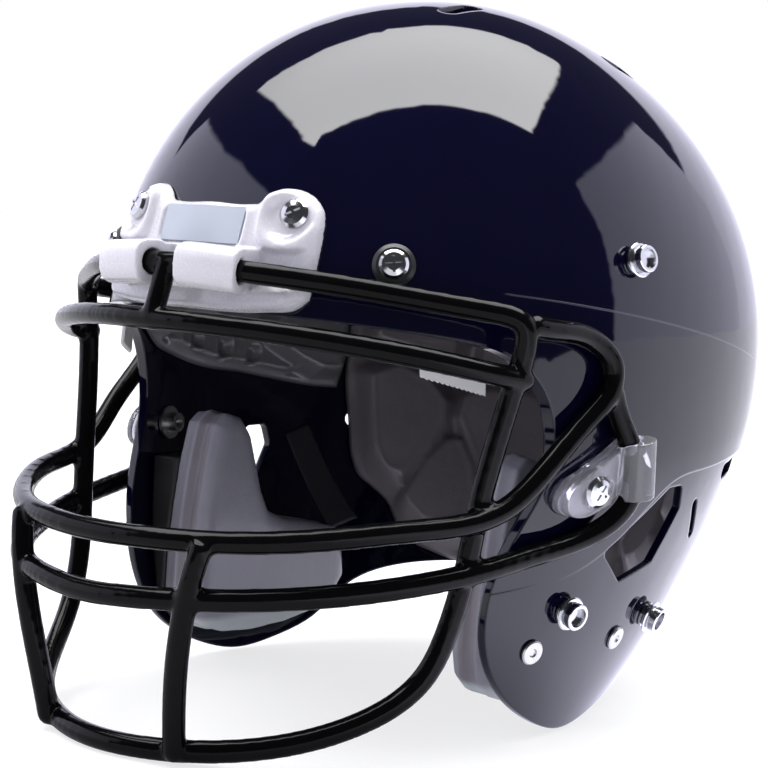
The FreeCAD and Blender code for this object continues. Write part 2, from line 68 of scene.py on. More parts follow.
# ---- node building ---------------------------------------------------------------------------------
class Socket:
    """An output of a node that takes part in Python expressions."""

    def __init__(self, recipe: "Recipe", output: bpy.types.NodeSocket) -> None:
        """Wraps an output of the recipe's node tree."""
        self.recipe = recipe
        self.output = output

    def math(self, operation: str, *others: Number) -> "Socket":
        """Runs a Math node with this socket as its first value."""
        return self.recipe.node("Math", {"operation": operation}, self, *others)

    def __add__(self, other: Number) -> "Socket":
        """self + other."""
        return self.math("ADD", other)

    def __radd__(self, other: Number) -> "Socket":
        """other + self."""
        return self.math("ADD", other)

    def __sub__(self, other: Number) -> "Socket":
        """self - other."""
        return self.math("SUBTRACT", other)

    def __rsub__(self, other: Number) -> "Socket":
        """other - self."""
        return self.recipe.node("Math", {"operation": "SUBTRACT"}, other, self)

    def __mul__(self, other: Number) -> "Socket":
        """self * other."""
        return self.math("MULTIPLY", other)

    def __rmul__(self, other: Number) -> "Socket":
        """other * self."""
        return self.math("MULTIPLY", other)

    def __truediv__(self, other: Number) -> "Socket":
        """self / other."""
        return self.math("DIVIDE", other)

    def __rtruediv__(self, other: Number) -> "Socket":
        """other / self."""
        return self.recipe.node("Math", {"operation": "DIVIDE"}, other, self)

    def __neg__(self) -> "Socket":
        """The negative of the value."""
        return self.math("MULTIPLY", -1.0)

    def __abs__(self) -> "Socket":
        """The size of the value."""
        return self.math("ABSOLUTE")

    def step(self, start: float, end: float) -> "Socket":
        """Goes smoothly from 0 at start to 1 at end.

        Args:
            start: value at which the result is 0.
            end: value at which the result is 1; it may be lower than start.

        Returns:
            The smooth step as a socket.
        """
        settings = {"interpolation_type": "SMOOTHSTEP"}
        if start < end:
            return self.recipe.node("MapRange", settings, self, start, end, 0.0, 1.0)
        return self.recipe.node("MapRange", settings, self, end, start, 1.0, 0.0)


class Bench:
    """A node tree being wired."""

    def __init__(self, owner: Union[bpy.types.Material, bpy.types.World]) -> None:
        """Empties the owner's node tree.

        Args:
            owner: the material or world that holds the tree.
        """
        owner.use_nodes = True
        self.tree = owner.node_tree
        self.tree.nodes.clear()

    def node(self, kind: str, settings: dict, *values: object, **named: object) -> Socket:
        """Adds a node.

        Args:
            kind: node type without its ShaderNode prefix.
            settings: the node's own settings, set first; stops gives a ramp's stops.
            values: numbers, colours or sockets for its inputs, in order; None leaves one alone.
            named: numbers, colours or sockets for inputs by name, with _ for a space.

        Returns:
            The node's first output.
        """
        made = self.tree.nodes.new("ShaderNode" + kind)
        for key, value in settings.items():
            if key == "stops":
                ramp = made.color_ramp
                while len(ramp.elements) < len(value):
                    ramp.elements.new(0.5)
                for element, (where, colour) in zip(ramp.elements, value):
                    element.position, element.color = where, (*colour, 1.0)
            elif key != "output":
                setattr(made, key, value)
        inputs = [(made.inputs[i], v) for i, v in enumerate(values)]
        inputs += [(made.inputs[key.replace("_", " ")], v) for key, v in named.items()]
        for slot, value in inputs:
            self.feed(slot, value)
        return Socket(self, made.outputs[settings.get("output", 0)])

    def feed(self, slot: bpy.types.NodeSocket, value: object) -> None:
        """Links a socket to an input, or sets its number or colour.

        Args:
            slot: the input.
            value: a socket, number or colour; None leaves it alone.
        """
        if isinstance(value, Socket):
            self.tree.links.new(value.output, slot)
        elif value is not None:
            if slot.type == "RGBA" and len(value) == 3:
                value = (*value, 1.0)
            slot.default_value = value


class Recipe(Bench):
    """A finish being mixed: one material and its nodes."""

    def __init__(self, name: str) -> None:
        """Starts an empty material with one Principled shader.

        Args:
            name: the material's name.
        """
        self.material = bpy.data.materials.new(name)
        super().__init__(self.material)
        self.out = self.tree.nodes.new("ShaderNodeOutputMaterial")
        self.shader = self.tree.nodes.new("ShaderNodeBsdfPrincipled")
        self.tree.links.new(self.shader.outputs["BSDF"], self.out.inputs["Surface"])

    def set(self, **inputs: object) -> "Recipe":
        """Sets or links the shader's own inputs, with _ for a space.

        Args:
            inputs: values or sockets by input name.

        Returns:
            The recipe itself.
        """
        for key, value in inputs.items():
            self.feed(self.shader.inputs[key.replace("_", " ")], value)
        return self

    def place(self, scale: Sequence[float] = (1, 1, 1)) -> Socket:
        """Object coordinates times a scale, the same for every piece of the helmet."""
        coordinates = self.node("TexCoord", {"output": "Object"})
        return self.node("Mapping", {}, coordinates, Scale=tuple(scale))

    def axis(self, name: str) -> Socket:
        """One axis of the Object coordinates, in millimetres of the design.

        Args:
            name: X, Y or Z.

        Returns:
            The coordinate as a socket.
        """
        coordinates = self.node("TexCoord", {"output": "Object"})
        split = self.node("SeparateXYZ", {"output": name}, coordinates)
        return split / MM - PLACE["XYZ".index(name)]

    def noise(self, size: float, detail: float = 2.0, roughness: float = 0.5,
              stretch: Sequence[float] = (1, 1, 1)) -> Socket:
        """Noise whose blotches are about size millimetres across.

        Args:
            size: blotch size in millimetres.
            detail: number of finer layers.
            roughness: strength of the finer layers.
            stretch: relative frequency along each axis.

        Returns:
            A value round 0.5.
        """
        return self.node("TexNoise", {}, self.place(stretch), Scale=1 / (size * MM), Detail=detail,
                         Roughness=roughness)

    def cells(self, size: float, feature: str = "F1", output: str = "Distance") -> Socket:
        """A Voronoi pattern with cells about size millimetres across."""
        return self.node("TexVoronoi", {"feature": feature, "output": output}, self.place(),
                         Scale=1 / (size * MM))

    def blend(self, amount: Number, first: object, second: object) -> Socket:
        """Mixes two colours: amount 0 gives the first and 1 the second."""
        return self.node("MixRGB", {}, amount, first, second)

    def bump(self, height: Socket, depth: float, strength: float = 1.0,
             under: Union[Socket, None] = None) -> Socket:
        """A Bump node.

        Args:
            height: height pattern, 0 to 1.
            depth: height of the pattern in millimetres.
            strength: share of the effect.
            under: a normal that this one adds to.

        Returns:
            The bumped normal.
        """
        return self.node("Bump", {}, Strength=strength, Distance=depth * MM, Height=height,
                         Normal=under)


# ---- finishes --------------------------------------------------------------------------------------
@dataclass(frozen=True)
class ShellGloss:
    """Polished navy paint under a clear coat."""

    colour: tuple = (0.0020, 0.0019, 0.0140)
    deep: tuple = (0.0013, 0.0012, 0.0095)
    # lighter colour along the mould line: a painted highlight, not a colour of the paint
    painted_seam_highlight: tuple = (0.075, 0.075, 0.10)
    line_height: tuple = (1.6, 0.163, 0.00033)
    line_rear: tuple = (69, 60)
    line_front: tuple = (-97, -92)
    roughness: float = 0.022

    def mix(self) -> bpy.types.Material:
        """Mixes the paint with its faint ripple, haze and mould line; the mould line is a real shallow
        groove, and its lighter colour is a painted highlight.

        Returns:
            The finished material.
        """
        recipe = Recipe("shell_gloss")
        haze = recipe.noise(16, 3)
        y, z = recipe.axis("Y"), recipe.axis("Z")
        level, slope, bow = self.line_height
        seam_height = level - slope * y - bow * y * y
        # mould line mask: the groove bump is real relief, the lighter colour blended along it is a painted
        # highlight
        seam_and_highlight = abs(z - seam_height).step(0.42, 0.16) * y.step(*self.line_front) * y.step(*self.line_rear)
        body = recipe.blend(haze, self.deep, self.colour)
        paint = recipe.blend(seam_and_highlight * 0.55, body, self.painted_seam_highlight)
        edge = recipe.node("Bevel", {"samples": 6}, 1.3 * MM)
        ripple = recipe.bump(recipe.noise(9, 1), 0.008, 1.0, edge)
        recipe.set(Base_Color=paint, Roughness=haze * 0.02 + self.roughness, IOR=1.50,
                   Normal=recipe.bump(1 - seam_and_highlight, 0.08, 1.0, ripple))
        return recipe.material


@dataclass(frozen=True)
class DippedWire:
    """Thick black coating on the mask's wires."""

    colour: tuple = (0.0014, 0.0014, 0.0016)
    drift: tuple = (0.0024, 0.0024, 0.0027)
    roughness: float = 0.10

    def mix(self) -> bpy.types.Material:
        """Mixes the coating with its slight flow marks.

        Returns:
            The finished material.
        """
        recipe = Recipe("mask_coating")
        flow = recipe.noise(14, 2)
        fine = recipe.noise(2.2, 2)
        recipe.set(Base_Color=recipe.blend(flow, self.colour, self.drift),
                   Roughness=self.roughness + flow * 0.08, Specular_IOR_Level=0.13,
                   Normal=recipe.bump(fine, 0.012, 1.0, recipe.bump(flow, 0.10)))
        return recipe.material


@dataclass(frozen=True)
class MouldedPlastic:
    """A moulded plastic with a little grain and colour drift."""

    name: str
    colour: tuple
    drift: tuple
    roughness: float = 0.35
    grain: float = 0.6
    grain_depth: float = 0.02
    coat: float = 0.0
    subsurface: float = 0.0

    def mix(self) -> bpy.types.Material:
        """Mixes the plastic.

        Returns:
            The finished material.
        """
        recipe = Recipe(self.name)
        cloud, fine = recipe.noise(12, 3), recipe.noise(self.grain, 2)
        recipe.set(Base_Color=recipe.blend(cloud, self.colour, self.drift),
                   Roughness=self.roughness + fine * 0.10 + cloud * 0.04, Coat_Weight=self.coat,
                   Coat_Roughness=0.08, Normal=recipe.bump(fine, self.grain_depth))
        if self.subsurface:
            recipe.set(Subsurface_Weight=self.subsurface, Subsurface_Scale=0.004,
                       Subsurface_Radius=(1.0, 0.95, 0.9))
        return recipe.material


@dataclass(frozen=True)
class ClearPlastic:
    """Clear cast plastic with flow marks."""

    name: str = "clip_clear"
    tint: tuple = (0.86, 0.85, 0.92)
    drift: tuple = (0.93, 0.92, 0.98)

    def mix(self) -> bpy.types.Material:
        """Mixes the clear plastic.

        Returns:
            The finished material.
        """
        recipe = Recipe(self.name)
        swirl = recipe.noise(5, 2)
        recipe.set(Base_Color=recipe.blend(swirl, self.tint, self.drift),
                   Roughness=swirl * 0.06 + 0.04, IOR=1.46, Transmission_Weight=0.86,
                   Normal=recipe.bump(swirl, 0.15))
        return recipe.material


@dataclass(frozen=True)
class PlatedMetal:
    """Plated steel with fine turning marks and handling wear."""

    name: str
    colour: tuple
    roughness: float
    wear: float = 0.12

    def mix(self) -> bpy.types.Material:
        """Mixes the plating.

        Returns:
            The finished material.
        """
        recipe = Recipe(self.name)
        patch, fine = recipe.noise(3, 3), recipe.noise(0.35, 2)
        dull = tuple(c * 0.72 for c in self.colour)
        recipe.set(Base_Color=recipe.blend(patch, self.colour, dull), Metallic=1.0,
                   Roughness=self.roughness + patch * self.wear,
                   Normal=recipe.bump(fine, 0.006))
        return recipe.material


@dataclass(frozen=True)
class GrainedVinyl:
    """Pad covering with a fine leather grain and soft sheen."""

    name: str
    colour: tuple
    shade: tuple
    roughness: float = 0.42
    grain: float = 0.9
    coat: float = 0.15
    band: Union[tuple, None] = None
    rim: Union[tuple, None] = None
    band_edges: tuple = ((69.5, 71.0), (78.6, 77.4))
    rim_edge: tuple = (-129.0, -133.0)

    def mix(self) -> bpy.types.Material:
        """Mixes the covering.

        Returns:
            The finished material.
        """
        recipe = Recipe(self.name)
        cloud = recipe.noise(18, 3)
        pebble = recipe.cells(self.grain)
        crease = recipe.noise(6, 4, 0.6)
        tint = recipe.blend(cloud, self.colour, self.shade)
        if self.band:
            depth, low = abs(recipe.axis("X")), recipe.axis("Z")
            inner = depth.step(*self.band_edges[0]) * depth.step(*self.band_edges[1])
            tint = recipe.blend(inner * 0.65, tint, self.band)
            tint = recipe.blend(low.step(*self.rim_edge), tint, self.rim)
        recipe.set(Base_Color=tint, Roughness=self.roughness + pebble * 0.10 + cloud * 0.06,
                   Coat_Weight=self.coat, Coat_Roughness=0.12,
                   Normal=recipe.bump(pebble, 0.05, 1.0, recipe.bump(crease, 0.25)))
        return recipe.material


@dataclass
class Paintbox:
    """All the finishes of the helmet by material slot."""

    finishes: dict = field(default_factory=dict)

    def fill(self) -> None:
        """Mixes every finish once."""
        metal = (0.70, 0.71, 0.73)
        self.finishes = {
            "shell_gloss": ShellGloss().mix(),
            "mask_coating": DippedWire().mix(),
            "bumper_white": MouldedPlastic("bumper_white", (0.62, 0.61, 0.64), (0.56, 0.55, 0.59), 0.20,
                                           0.8, 0.012, 0.5, 0.15).mix(),
            "plate_grey": MouldedPlastic("plate_grey", (0.40, 0.44, 0.49), (0.35, 0.39, 0.44), 0.24,
                                         0.5, 0.012, 0.3).mix(),
            "clip_clear": ClearPlastic().mix(),
            "hardware_chrome": PlatedMetal("hardware_chrome", metal, 0.10).mix(),
            "hardware_nickel": PlatedMetal("hardware_nickel", (0.62, 0.62, 0.60), 0.26, 0.18).mix(),
            "washer_black": MouldedPlastic("washer_black", (0.012, 0.012, 0.014),
                                           (0.020, 0.020, 0.022), 0.30).mix(),
            "backing_black": MouldedPlastic("backing_black", (0.014, 0.014, 0.015),
                                            (0.028, 0.028, 0.030), 0.40, 0.5, 0.04).mix(),
            "jaw_vinyl": GrainedVinyl("jaw_vinyl", (0.275, 0.272, 0.315), (0.225, 0.222, 0.260), 0.34,
                                      0.7, 0.25, (0.150, 0.128, 0.142), (0.50, 0.54, 0.56)).mix(),
            "liner_grey": GrainedVinyl("liner_grey", (0.230, 0.208, 0.228), (0.165, 0.148, 0.164), 0.34,
                                       0.7, 0.3).mix(),
            "brow_grey": GrainedVinyl("brow_grey", (0.175, 0.178, 0.190), (0.120, 0.122, 0.132), 0.24,
                                      0.8, 0.4).mix(),
            "tab_white": GrainedVinyl("tab_white", (0.62, 0.62, 0.63), (0.54, 0.54, 0.55), 0.7,
                                      0.5, 0.0).mix(),
            "label_dark": MouldedPlastic("label_dark", (0.010, 0.011, 0.016),
                                         (0.016, 0.017, 0.022), 0.45).mix(),
        }

    def dress(self, piece: bpy.types.Object, slot: str) -> None:
        """Puts one finish on a whole piece.

        Args:
            piece: the piece.
            slot: the material slot that it takes.
        """
        piece.data.materials.clear()
        piece.data.materials.append(self.finishes[slot])

    def dress_frame(self) -> None:
        """Gives every node of the frame the finish of its own slot."""
        for slot, names in NODES_BY_FINISH.items():
            for name in names:
                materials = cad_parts[name].data.materials
                materials.clear()
                materials.append(self.finishes[slot])


NODES_BY_FINISH = {
    "shell_gloss": ("shell",),
    "mask_coating": (
        "top_bar", "brow_bar", "upper_wire", "lower_wire", "chin_wire", "front_post_left",
        "front_post_right", "centre_post"),
    "bumper_white": ("front_bumper",),
    "plate_grey": ("name_plate",),
    "hardware_chrome": (
        "bumper_screw_left", "bumper_screw_right", "brow_screws", "snap_studs", "clip_screw_left",
        "clip_screw_right"),
    "hardware_nickel": ("bumper_tnuts", "brow_tnuts", "snap_tnuts", "jaw_rivets", "clip_tnuts"),
    "washer_black": ("brow_washers",),
    "clip_clear": ("left_clip", "right_clip"),
    "backing_black": ("left_jaw_backing", "right_jaw_backing"),
    "jaw_vinyl": ("left_jaw_pad", "right_jaw_pad"),
    "brow_grey": ("brow_pad",),
    "liner_grey": (
        "crown_pad", "left_liner", "right_liner", "rear_left_liner", "rear_right_liner",
        "rear_liner"),
    "tab_white": ("brow_tabs",),
    "label_dark": ("inner_label",),
}


# ---- shapes ----------------------------------------------------------------------------------------
def ease(value: np.ndarray) -> np.ndarray:
    """Goes smoothly from 0 to 1 as the value does."""
    value = np.clip(value, 0.0, 1.0)
    return value * value * (3.0 - 2.0 * value)


def rounded(rim: np.ndarray, radius: float) -> np.ndarray:
    """Share of full height at a distance from a border that is rounded over by radius."""
    return np.sqrt(np.clip(1.0 - (1.0 - np.minimum(rim / radius, 1.0)) ** 2, 0.0, 1.0))


def border_distance(points: np.ndarray, corners: Sequence[Sequence[float]]) -> np.ndarray:
    """Distance from points to a closed outline.

    Args:
        points: flat points, one a row.
        corners: the outline's corners in order.

    Returns:
        A distance for each point, negative inside.
    """
    corner = np.asarray(corners, float)
    best = np.full(len(points), 1e9)
    inside = np.zeros(len(points), bool)
    for start, end in zip(corner, np.roll(corner, -1, axis=0)):
        edge, gap = end - start, points - start
        share = np.clip(gap @ edge / (edge @ edge), 0.0, 1.0)
        best = np.minimum(best, np.linalg.norm(gap - share[:, None] * edge, axis=1))
        crosses = (start[1] > points[:, 1]) != (end[1] > points[:, 1])
        slope = (end[0] - start[0]) / ((end[1] - start[1]) or 1e-9)
        inside ^= crosses & (points[:, 0] < start[0] + (points[:, 1] - start[1]) * slope)
    return np.where(inside, -best, best)


def run_through(points: Sequence[Sequence[float]], shares: np.ndarray, straight: bool) -> np.ndarray:
    """Points at shares of the length of a line through given points.

    Args:
        points: points that the line passes.
        shares: 0 at the start to 1 at the end.
        straight: straight runs in place of a smooth curve.

    Returns:
        One row for each share.
    """
    point = np.asarray(points, float)
    length = np.concatenate([[0.0], np.cumsum(np.linalg.norm(np.diff(point, axis=0), axis=1))])
    where = np.asarray(shares) * length[-1]
    if straight or len(point) < 3:
        return np.stack([np.interp(where, length, point[:, i]) for i in range(point.shape[1])], -1)
    slope = np.gradient(point, length, axis=0)
    k = np.clip(np.searchsorted(length, where, side="right") - 1, 0, len(point) - 2)
    span = (length[k + 1] - length[k])[:, None]
    t = (where - length[k])[:, None] / span
    return ((2 * t ** 3 - 3 * t ** 2 + 1) * point[k] + (t ** 3 - 2 * t ** 2 + t) * span * slope[k]
            + (3 * t ** 2 - 2 * t ** 3) * point[k + 1] + (t ** 3 - t ** 2) * span * slope[k + 1])


class View(Enum):
    """How the flat points of a patch are laid on a dome: by its angles, or along one axis."""

    ANGLES = (None, 0)
    LEFT = (0, 1)
    RIGHT = (0, -1)
    FRONT = (1, -1)
    TOP = (2, 1)


@dataclass(frozen=True)
class Dome:
    """One of the helmet's domed surfaces, in millimetres of the design."""

    half: float
    front: float
    rear: float
    up: float
    side_drop: float
    rear_drop: float
    upright: float
    plan: float

    def reach(self, way: np.ndarray, inset: np.ndarray) -> np.ndarray:
        """Distance from the middle to the surface.

        Args:
            way: unit directions in the dome's own upright frame.
            inset: how far inside the dome the surface lies.

        Returns:
            A distance for each direction.
        """
        x, y, z = way[..., 0], way[..., 1], way[..., 2]
        depth = np.where(y < 0, self.front, self.rear) - inset
        half = self.half - inset
        flat = np.hypot(x / half, y / depth) + 1e-9
        weight = ((1 + (y / depth) / flat) / 2) ** 2
        below = self.side_drop + (self.rear_drop - self.side_drop) * weight
        height = np.where(z > 0, self.up, below) - inset
        ring = np.abs(x / half) ** self.plan + np.abs(y / depth) ** self.plan
        return (ring ** (self.upright / self.plan)
                + np.abs(z / height) ** self.upright) ** (-1 / self.upright)

    def tilt(self, vectors: np.ndarray, angle: float) -> np.ndarray:
        """Turns vectors about X.

        Args:
            vectors: the vectors.
            angle: the turn in radians.

        Returns:
            The turned vectors.
        """
        c, s = math.cos(angle), math.sin(angle)
        y, z = vectors[..., 1], vectors[..., 2]
        return np.stack([vectors[..., 0], y * c - z * s, y * s + z * c], -1)

    def angles(self, points: np.ndarray) -> np.ndarray:
        """Azimuth and elevation of points, in degrees.

        Args:
            points: points of the design.

        Returns:
            Two angles for each point.
        """
        way = self.tilt(points - np.array(DOME_MIDDLE), -TILT)
        way = way / np.linalg.norm(way, axis=-1)[..., None]
        return np.degrees(np.stack([np.arctan2(way[..., 0], -way[..., 1]), np.arcsin(way[..., 2])], -1))

    def lay(self, view: View, flat: np.ndarray, inset: np.ndarray) -> np.ndarray:
        """Lays flat points on the dome.

        Args:
            view: what the flat points are.
            flat: the points, in degrees or millimetres.
            inset: how far inside the dome each lies.

        Returns:
            Points of the design.
        """
        inset = np.broadcast_to(np.asarray(inset, float), flat.shape[:-1])
        if view is View.ANGLES:
            a, e = np.radians(flat[..., 0]), np.radians(flat[..., 1])
            way = np.stack([np.sin(a) * np.cos(e), -np.cos(a) * np.cos(e), np.sin(e)], -1)
            return self.tilt(way * self.reach(way, inset)[..., None], TILT) + np.array(DOME_MIDDLE)
        axis, sign = view.value
        points = np.zeros(flat.shape[:-1] + (3,))
        points[..., [i for i in range(3) if i != axis]] = flat
        near = np.full(flat.shape[:-1], DOME_MIDDLE[axis])
        far = near + sign * 250.0
        for _ in range(34):
            points[..., axis] = (near + far) / 2
            way = self.tilt(points - np.array(DOME_MIDDLE), -TILT)
            size = np.linalg.norm(way, axis=-1)
            out = size > self.reach(way / size[..., None], inset)
            far = np.where(out, points[..., axis], far)
            near = np.where(out, near, points[..., axis])
        return points


UPPER = Dome(117.3, 135.2, 156.9, 130.2, 227.4, 161.5, 2.03, 2.16)
CAVITY = Dome(112.7, 129.4, 149.8, 126.0, 262.0, 142.2, 1.95, 2.13)


def make_piece(name: str, points: np.ndarray, faces: Sequence[Sequence[int]]) -> bpy.types.Object:
    """Makes a smooth closed piece from points of the design.

    Args:
        name: the piece's name.
        points: its points, in millimetres.
        faces: its faces as numbers of points.

    Returns:
        The piece, its doubles merged and its faces turned outwards.
    """
    mesh = bpy.data.meshes.new(name)
    mesh.from_pydata([tuple(p) for p in (points + np.array(PLACE)) * MM], [], [tuple(f) for f in faces])
    piece = bpy.data.objects.new(name, mesh)
    bpy.context.scene.collection.objects.link(piece)
    tidy(piece)
    return piece


def tidy(piece: bpy.types.Object, turn: bool = True) -> None:
    """Merges a piece's doubles, turns its faces outwards and shades it smooth.

    Args:
        piece: the piece.
        turn: False leaves the faces as they point.
    """
    work = bmesh.new()
    work.from_mesh(piece.data)
    bmesh.ops.remove_doubles(work, verts=work.verts, dist=2e-6)
    if turn:
        bmesh.ops.recalc_face_normals(work, faces=work.faces)
    for face in work.faces:
        face.smooth = True
    work.to_mesh(piece.data)
    work.free()


def pick(*pieces: bpy.types.Object) -> None:
    """Selects only these pieces and makes the first the active one.

    Args:
        pieces: what to select.
    """
    bpy.ops.object.select_all(action="DESELECT")
    for piece in pieces:
        piece.select_set(True)
    bpy.context.view_layer.objects.active = pieces[0]


def copy_of(name: str, *nodes: str) -> bpy.types.Object:
    """One merged copy of some of the frame's nodes.

    Args:
        name: the copy's name.
        nodes: names of the nodes that it joins.

    Returns:
        The copy.
    """
    copies = []
    for node in nodes:
        copies.append(bpy.data.objects.new(name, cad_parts[node].data.copy()))
        bpy.context.scene.collection.objects.link(copies[-1])
        tidy(copies[-1], False)
    pick(*copies)
    if len(copies) > 1:
        bpy.ops.object.join()
    copies[0].name = name
    return copies[0]


def soften(piece: bpy.types.Object, voxel: float, rounds: int, factor: float = 0.5) -> None:
    """Runs all the shells of a piece together and rounds its edges.

    Args:
        piece: the piece, one or more closed shells.
        voxel: size of the new faces in millimetres.
        rounds: how often it is smoothed.
        factor: strength of each round.
    """
    pick(piece)
    grid = piece.modifiers.new("one_skin", "REMESH")
    grid.mode, grid.voxel_size, grid.use_smooth_shade = "VOXEL", voxel * MM, True
    bpy.ops.object.modifier_apply(modifier=grid.name)
    smooth = piece.modifiers.new("rounded", "SMOOTH")
    smooth.factor, smooth.iterations = factor, rounds
    bpy.ops.object.modifier_apply(modifier=smooth.name)
    bpy.ops.object.shade_smooth()


def read_points(piece: bpy.types.Object) -> np.ndarray:
    """The piece's points in millimetres of the design.

    Args:
        piece: the piece.

    Returns:
        One row for each point.
    """
    flat = np.empty(len(piece.data.vertices) * 3)
    piece.data.vertices.foreach_get("co", flat)
    return flat.reshape(-1, 3) / MM - np.array(PLACE)


def read_normals(piece: bpy.types.Object) -> np.ndarray:
    """The piece's normals at its points.

    Args:
        piece: the piece.

    Returns:
        One row for each point.
    """
    flat = np.empty(len(piece.data.vertices) * 3)
    piece.data.vertices.foreach_get("normal", flat)
    return flat.reshape(-1, 3)


def write_points(piece: bpy.types.Object, points: np.ndarray) -> None:
    """Moves the piece's points to points of the design.

    Args:
        piece: the piece.
        points: its new points, one a row.
    """
    piece.data.vertices.foreach_set("co", ((points + np.array(PLACE)) * MM).ravel())
    piece.data.update()


@dataclass
class Patch:
    """A four-sided piece of a dome's surface with a grid of points on it."""

    dome: Dome
    view: View
    bottom: tuple
    top: tuple
    left: tuple
    right: tuple
    pitch: float = 1.7
    straight: bool = False

    def unit(self) -> float:
        """Millimetres in one unit of the flat points."""
        return 2.0 if self.view is View.ANGLES else 1.0

    def shares(self, *sides: tuple) -> np.ndarray:
        """Even steps from 0 to 1, about a pitch apart along the longest of the sides.

        Args:
            sides: flat points along each side.

        Returns:
            The steps.
        """
        longest = max(np.linalg.norm(np.diff(np.asarray(side, float), axis=0), axis=1).sum()
                      for side in sides)
        return np.linspace(0, 1, max(8, int(longest * self.unit() / self.pitch)))

    def grid(self) -> np.ndarray:
        """The flat points, blended in from the four sides.

        Returns:
            Rows and columns of flat points.
        """
        s = self.shares(self.bottom, self.top)
        t = self.shares(self.left, self.right)
        bottom, top, left, right = (run_through(side, share, self.straight) for side, share in (
            (self.bottom, s), (self.top, s), (self.left, t), (self.right, t)))
        s, t = s[:, None, None], t[None, :, None]
        corners = ((1 - s) * (1 - t) * bottom[0] + s * (1 - t) * bottom[-1]
                   + (1 - s) * t * top[0] + s * t * top[-1])
        return ((1 - t) * bottom[:, None] + t * top[:, None] + (1 - s) * left[None]
                + s * right[None] - corners)

    def rim(self, flat: np.ndarray) -> np.ndarray:
        """Distance of each grid point from the patch's border, in millimetres.

        Args:
            flat: the patch's grid.

        Returns:
            A distance for each grid point.
        """
        border = np.concatenate([flat[:, 0], flat[-1, 1:], flat[-2::-1, -1], flat[0, -2:0:-1]])
        gap = border_distance(flat.reshape(-1, 2), border)
        return np.maximum(-gap, 0.0).reshape(flat.shape[:2]) * self.unit()

    def mesh(self, name: str, flat: np.ndarray, low: np.ndarray, high: np.ndarray) -> bpy.types.Object:
        """A closed piece between two insets of the dome.

        Args:
            name: the piece's name.
            flat: the patch's grid.
            low: inset of one skin at each grid point.
            high: inset of the other, equal to low along the border.

        Returns:
            The piece.
        """
        rows, columns = flat.shape[:2]
        points = np.concatenate([self.dome.lay(self.view, flat, low).reshape(-1, 3),
                                 self.dome.lay(self.view, flat, high).reshape(-1, 3)])
        number = np.arange(rows * columns).reshape(rows, columns)
        faces = []
        for skin, turned in ((number, False), (number + rows * columns, True)):
            quads = np.stack([skin[:-1, :-1], skin[1:, :-1], skin[1:, 1:], skin[:-1, 1:]], -1)
            quads = quads.reshape(-1, 4)
            faces += (quads[:, ::-1] if turned else quads).tolist()
        return make_piece(name, points, faces)


# ---- liner -----------------------------------------------------------------------------------------
@dataclass(frozen=True)
class Chamber:
    """A raised cell of a moulded cushion, given by the outline of its flat top."""

    outline: tuple
    height: float = 12.5
    slope: float = 9.0
    crown: float = 1.2
    crown_run: float = 9.0
    bead: tuple = (0.75, 0.4, 1.1)
    foot: tuple = (0.9, 2.2, 1.2)

    def rise(self, points: np.ndarray, unit: float) -> np.ndarray:
        """Height above the flange.

        Args:
            points: flat points, one a row.
            unit: millimetres in one unit of them.

        Returns:
            A height in millimetres for each point.
        """
        gap = border_distance(points, self.outline) * unit
        wall = ease(1.0 - gap / self.slope)
        crown = self.crown * (1.0 - np.exp(-np.maximum(-gap, 0.0) / self.crown_run))
        tall, away, width = self.bead
        bead = tall * np.exp(-((gap - away) / width) ** 2)
        tall, away, width = self.foot
        foot = tall * np.exp(-((gap - self.slope - away) / width) ** 2)
        return wall * self.height + np.where(gap < 0, crown, 0.0) + bead + foot


@dataclass(frozen=True)
class Pocket:
    """A rounded recess moulded into a cushion."""

    at: tuple
    half: tuple
    depth: float

    def sink(self, points: np.ndarray, unit: float) -> np.ndarray:
        """Depth of the recess at each point.

        Args:
            points: flat points, one a row.
            unit: millimetres in one unit of them.

        Returns:
            A depth in millimetres for each point.
        """
        gap = (np.abs(points - np.array(self.at)) * unit) / np.array(self.half)
        size = (gap ** 3).sum(axis=1) ** (1 / 3)
        rim = 0.5 * np.exp(-((size - 1.25) / 0.16) ** 2)
        return self.depth * ease((1.2 - size) / 0.45) - rim


@dataclass
class MouldedCushion:
    """A cushion moulded in one skin: a thin flange on the shell and raised cells."""

    name: str
    nodes: tuple
    slot: str
    patch: Patch
    cells: tuple = ()
    pockets: tuple = ()
    flange: float = 2.6
    gap: float = 1.0
    deepest: float = 17.6
    dimples: tuple = ()
    dimple_edge: tuple = (12.0, 3.5)
    lip_radius: float = 2.2
    rise_run: float = 5.0

    def build(self, paints: Paintbox) -> bpy.types.Object:
        """Builds the cushion, dresses it and hangs it in the helmet.

        Args:
            paints: the finishes.

        Returns:
            The cushion.
        """
        flat = self.patch.grid()
        points, unit = flat.reshape(-1, 2), self.patch.unit()
        rise = np.zeros(len(points))
        for cell in self.cells:
            rise = np.maximum(rise, cell.rise(points, unit))
        for pocket in self.pockets:
            rise = rise - pocket.sink(points, unit)
        rim = self.patch.rim(flat)
        low = np.full(rim.shape, self.gap)
        for at, depth in self.dimples:
            gap = np.linalg.norm(points - np.array(at), axis=1).reshape(rim.shape) * unit
            low = low + (depth - self.gap) * ease((self.dimple_edge[0] - gap) / self.dimple_edge[1])
        lip = rounded(rim, self.lip_radius)
        body = self.flange * lip + rise.reshape(rim.shape) * ease(rim / self.rise_run)
        high = np.clip(self.gap + body, low + 1.2 * lip, self.deepest)
        piece = self.patch.mesh(self.name + "_cushion", flat, low, np.where(rim > 0, high, low))
        paints.dress(piece, self.slot)
        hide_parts(*self.nodes)
        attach(piece, "helmet")
        LOG.info("%s: %d faces", self.name, len(piece.data.polygons))
        return piece


def other_side(points: Sequence[Sequence[float]]) -> tuple:
    """The same flat points on the wearer's other side."""
    return tuple((-a, e) for a, e in points)


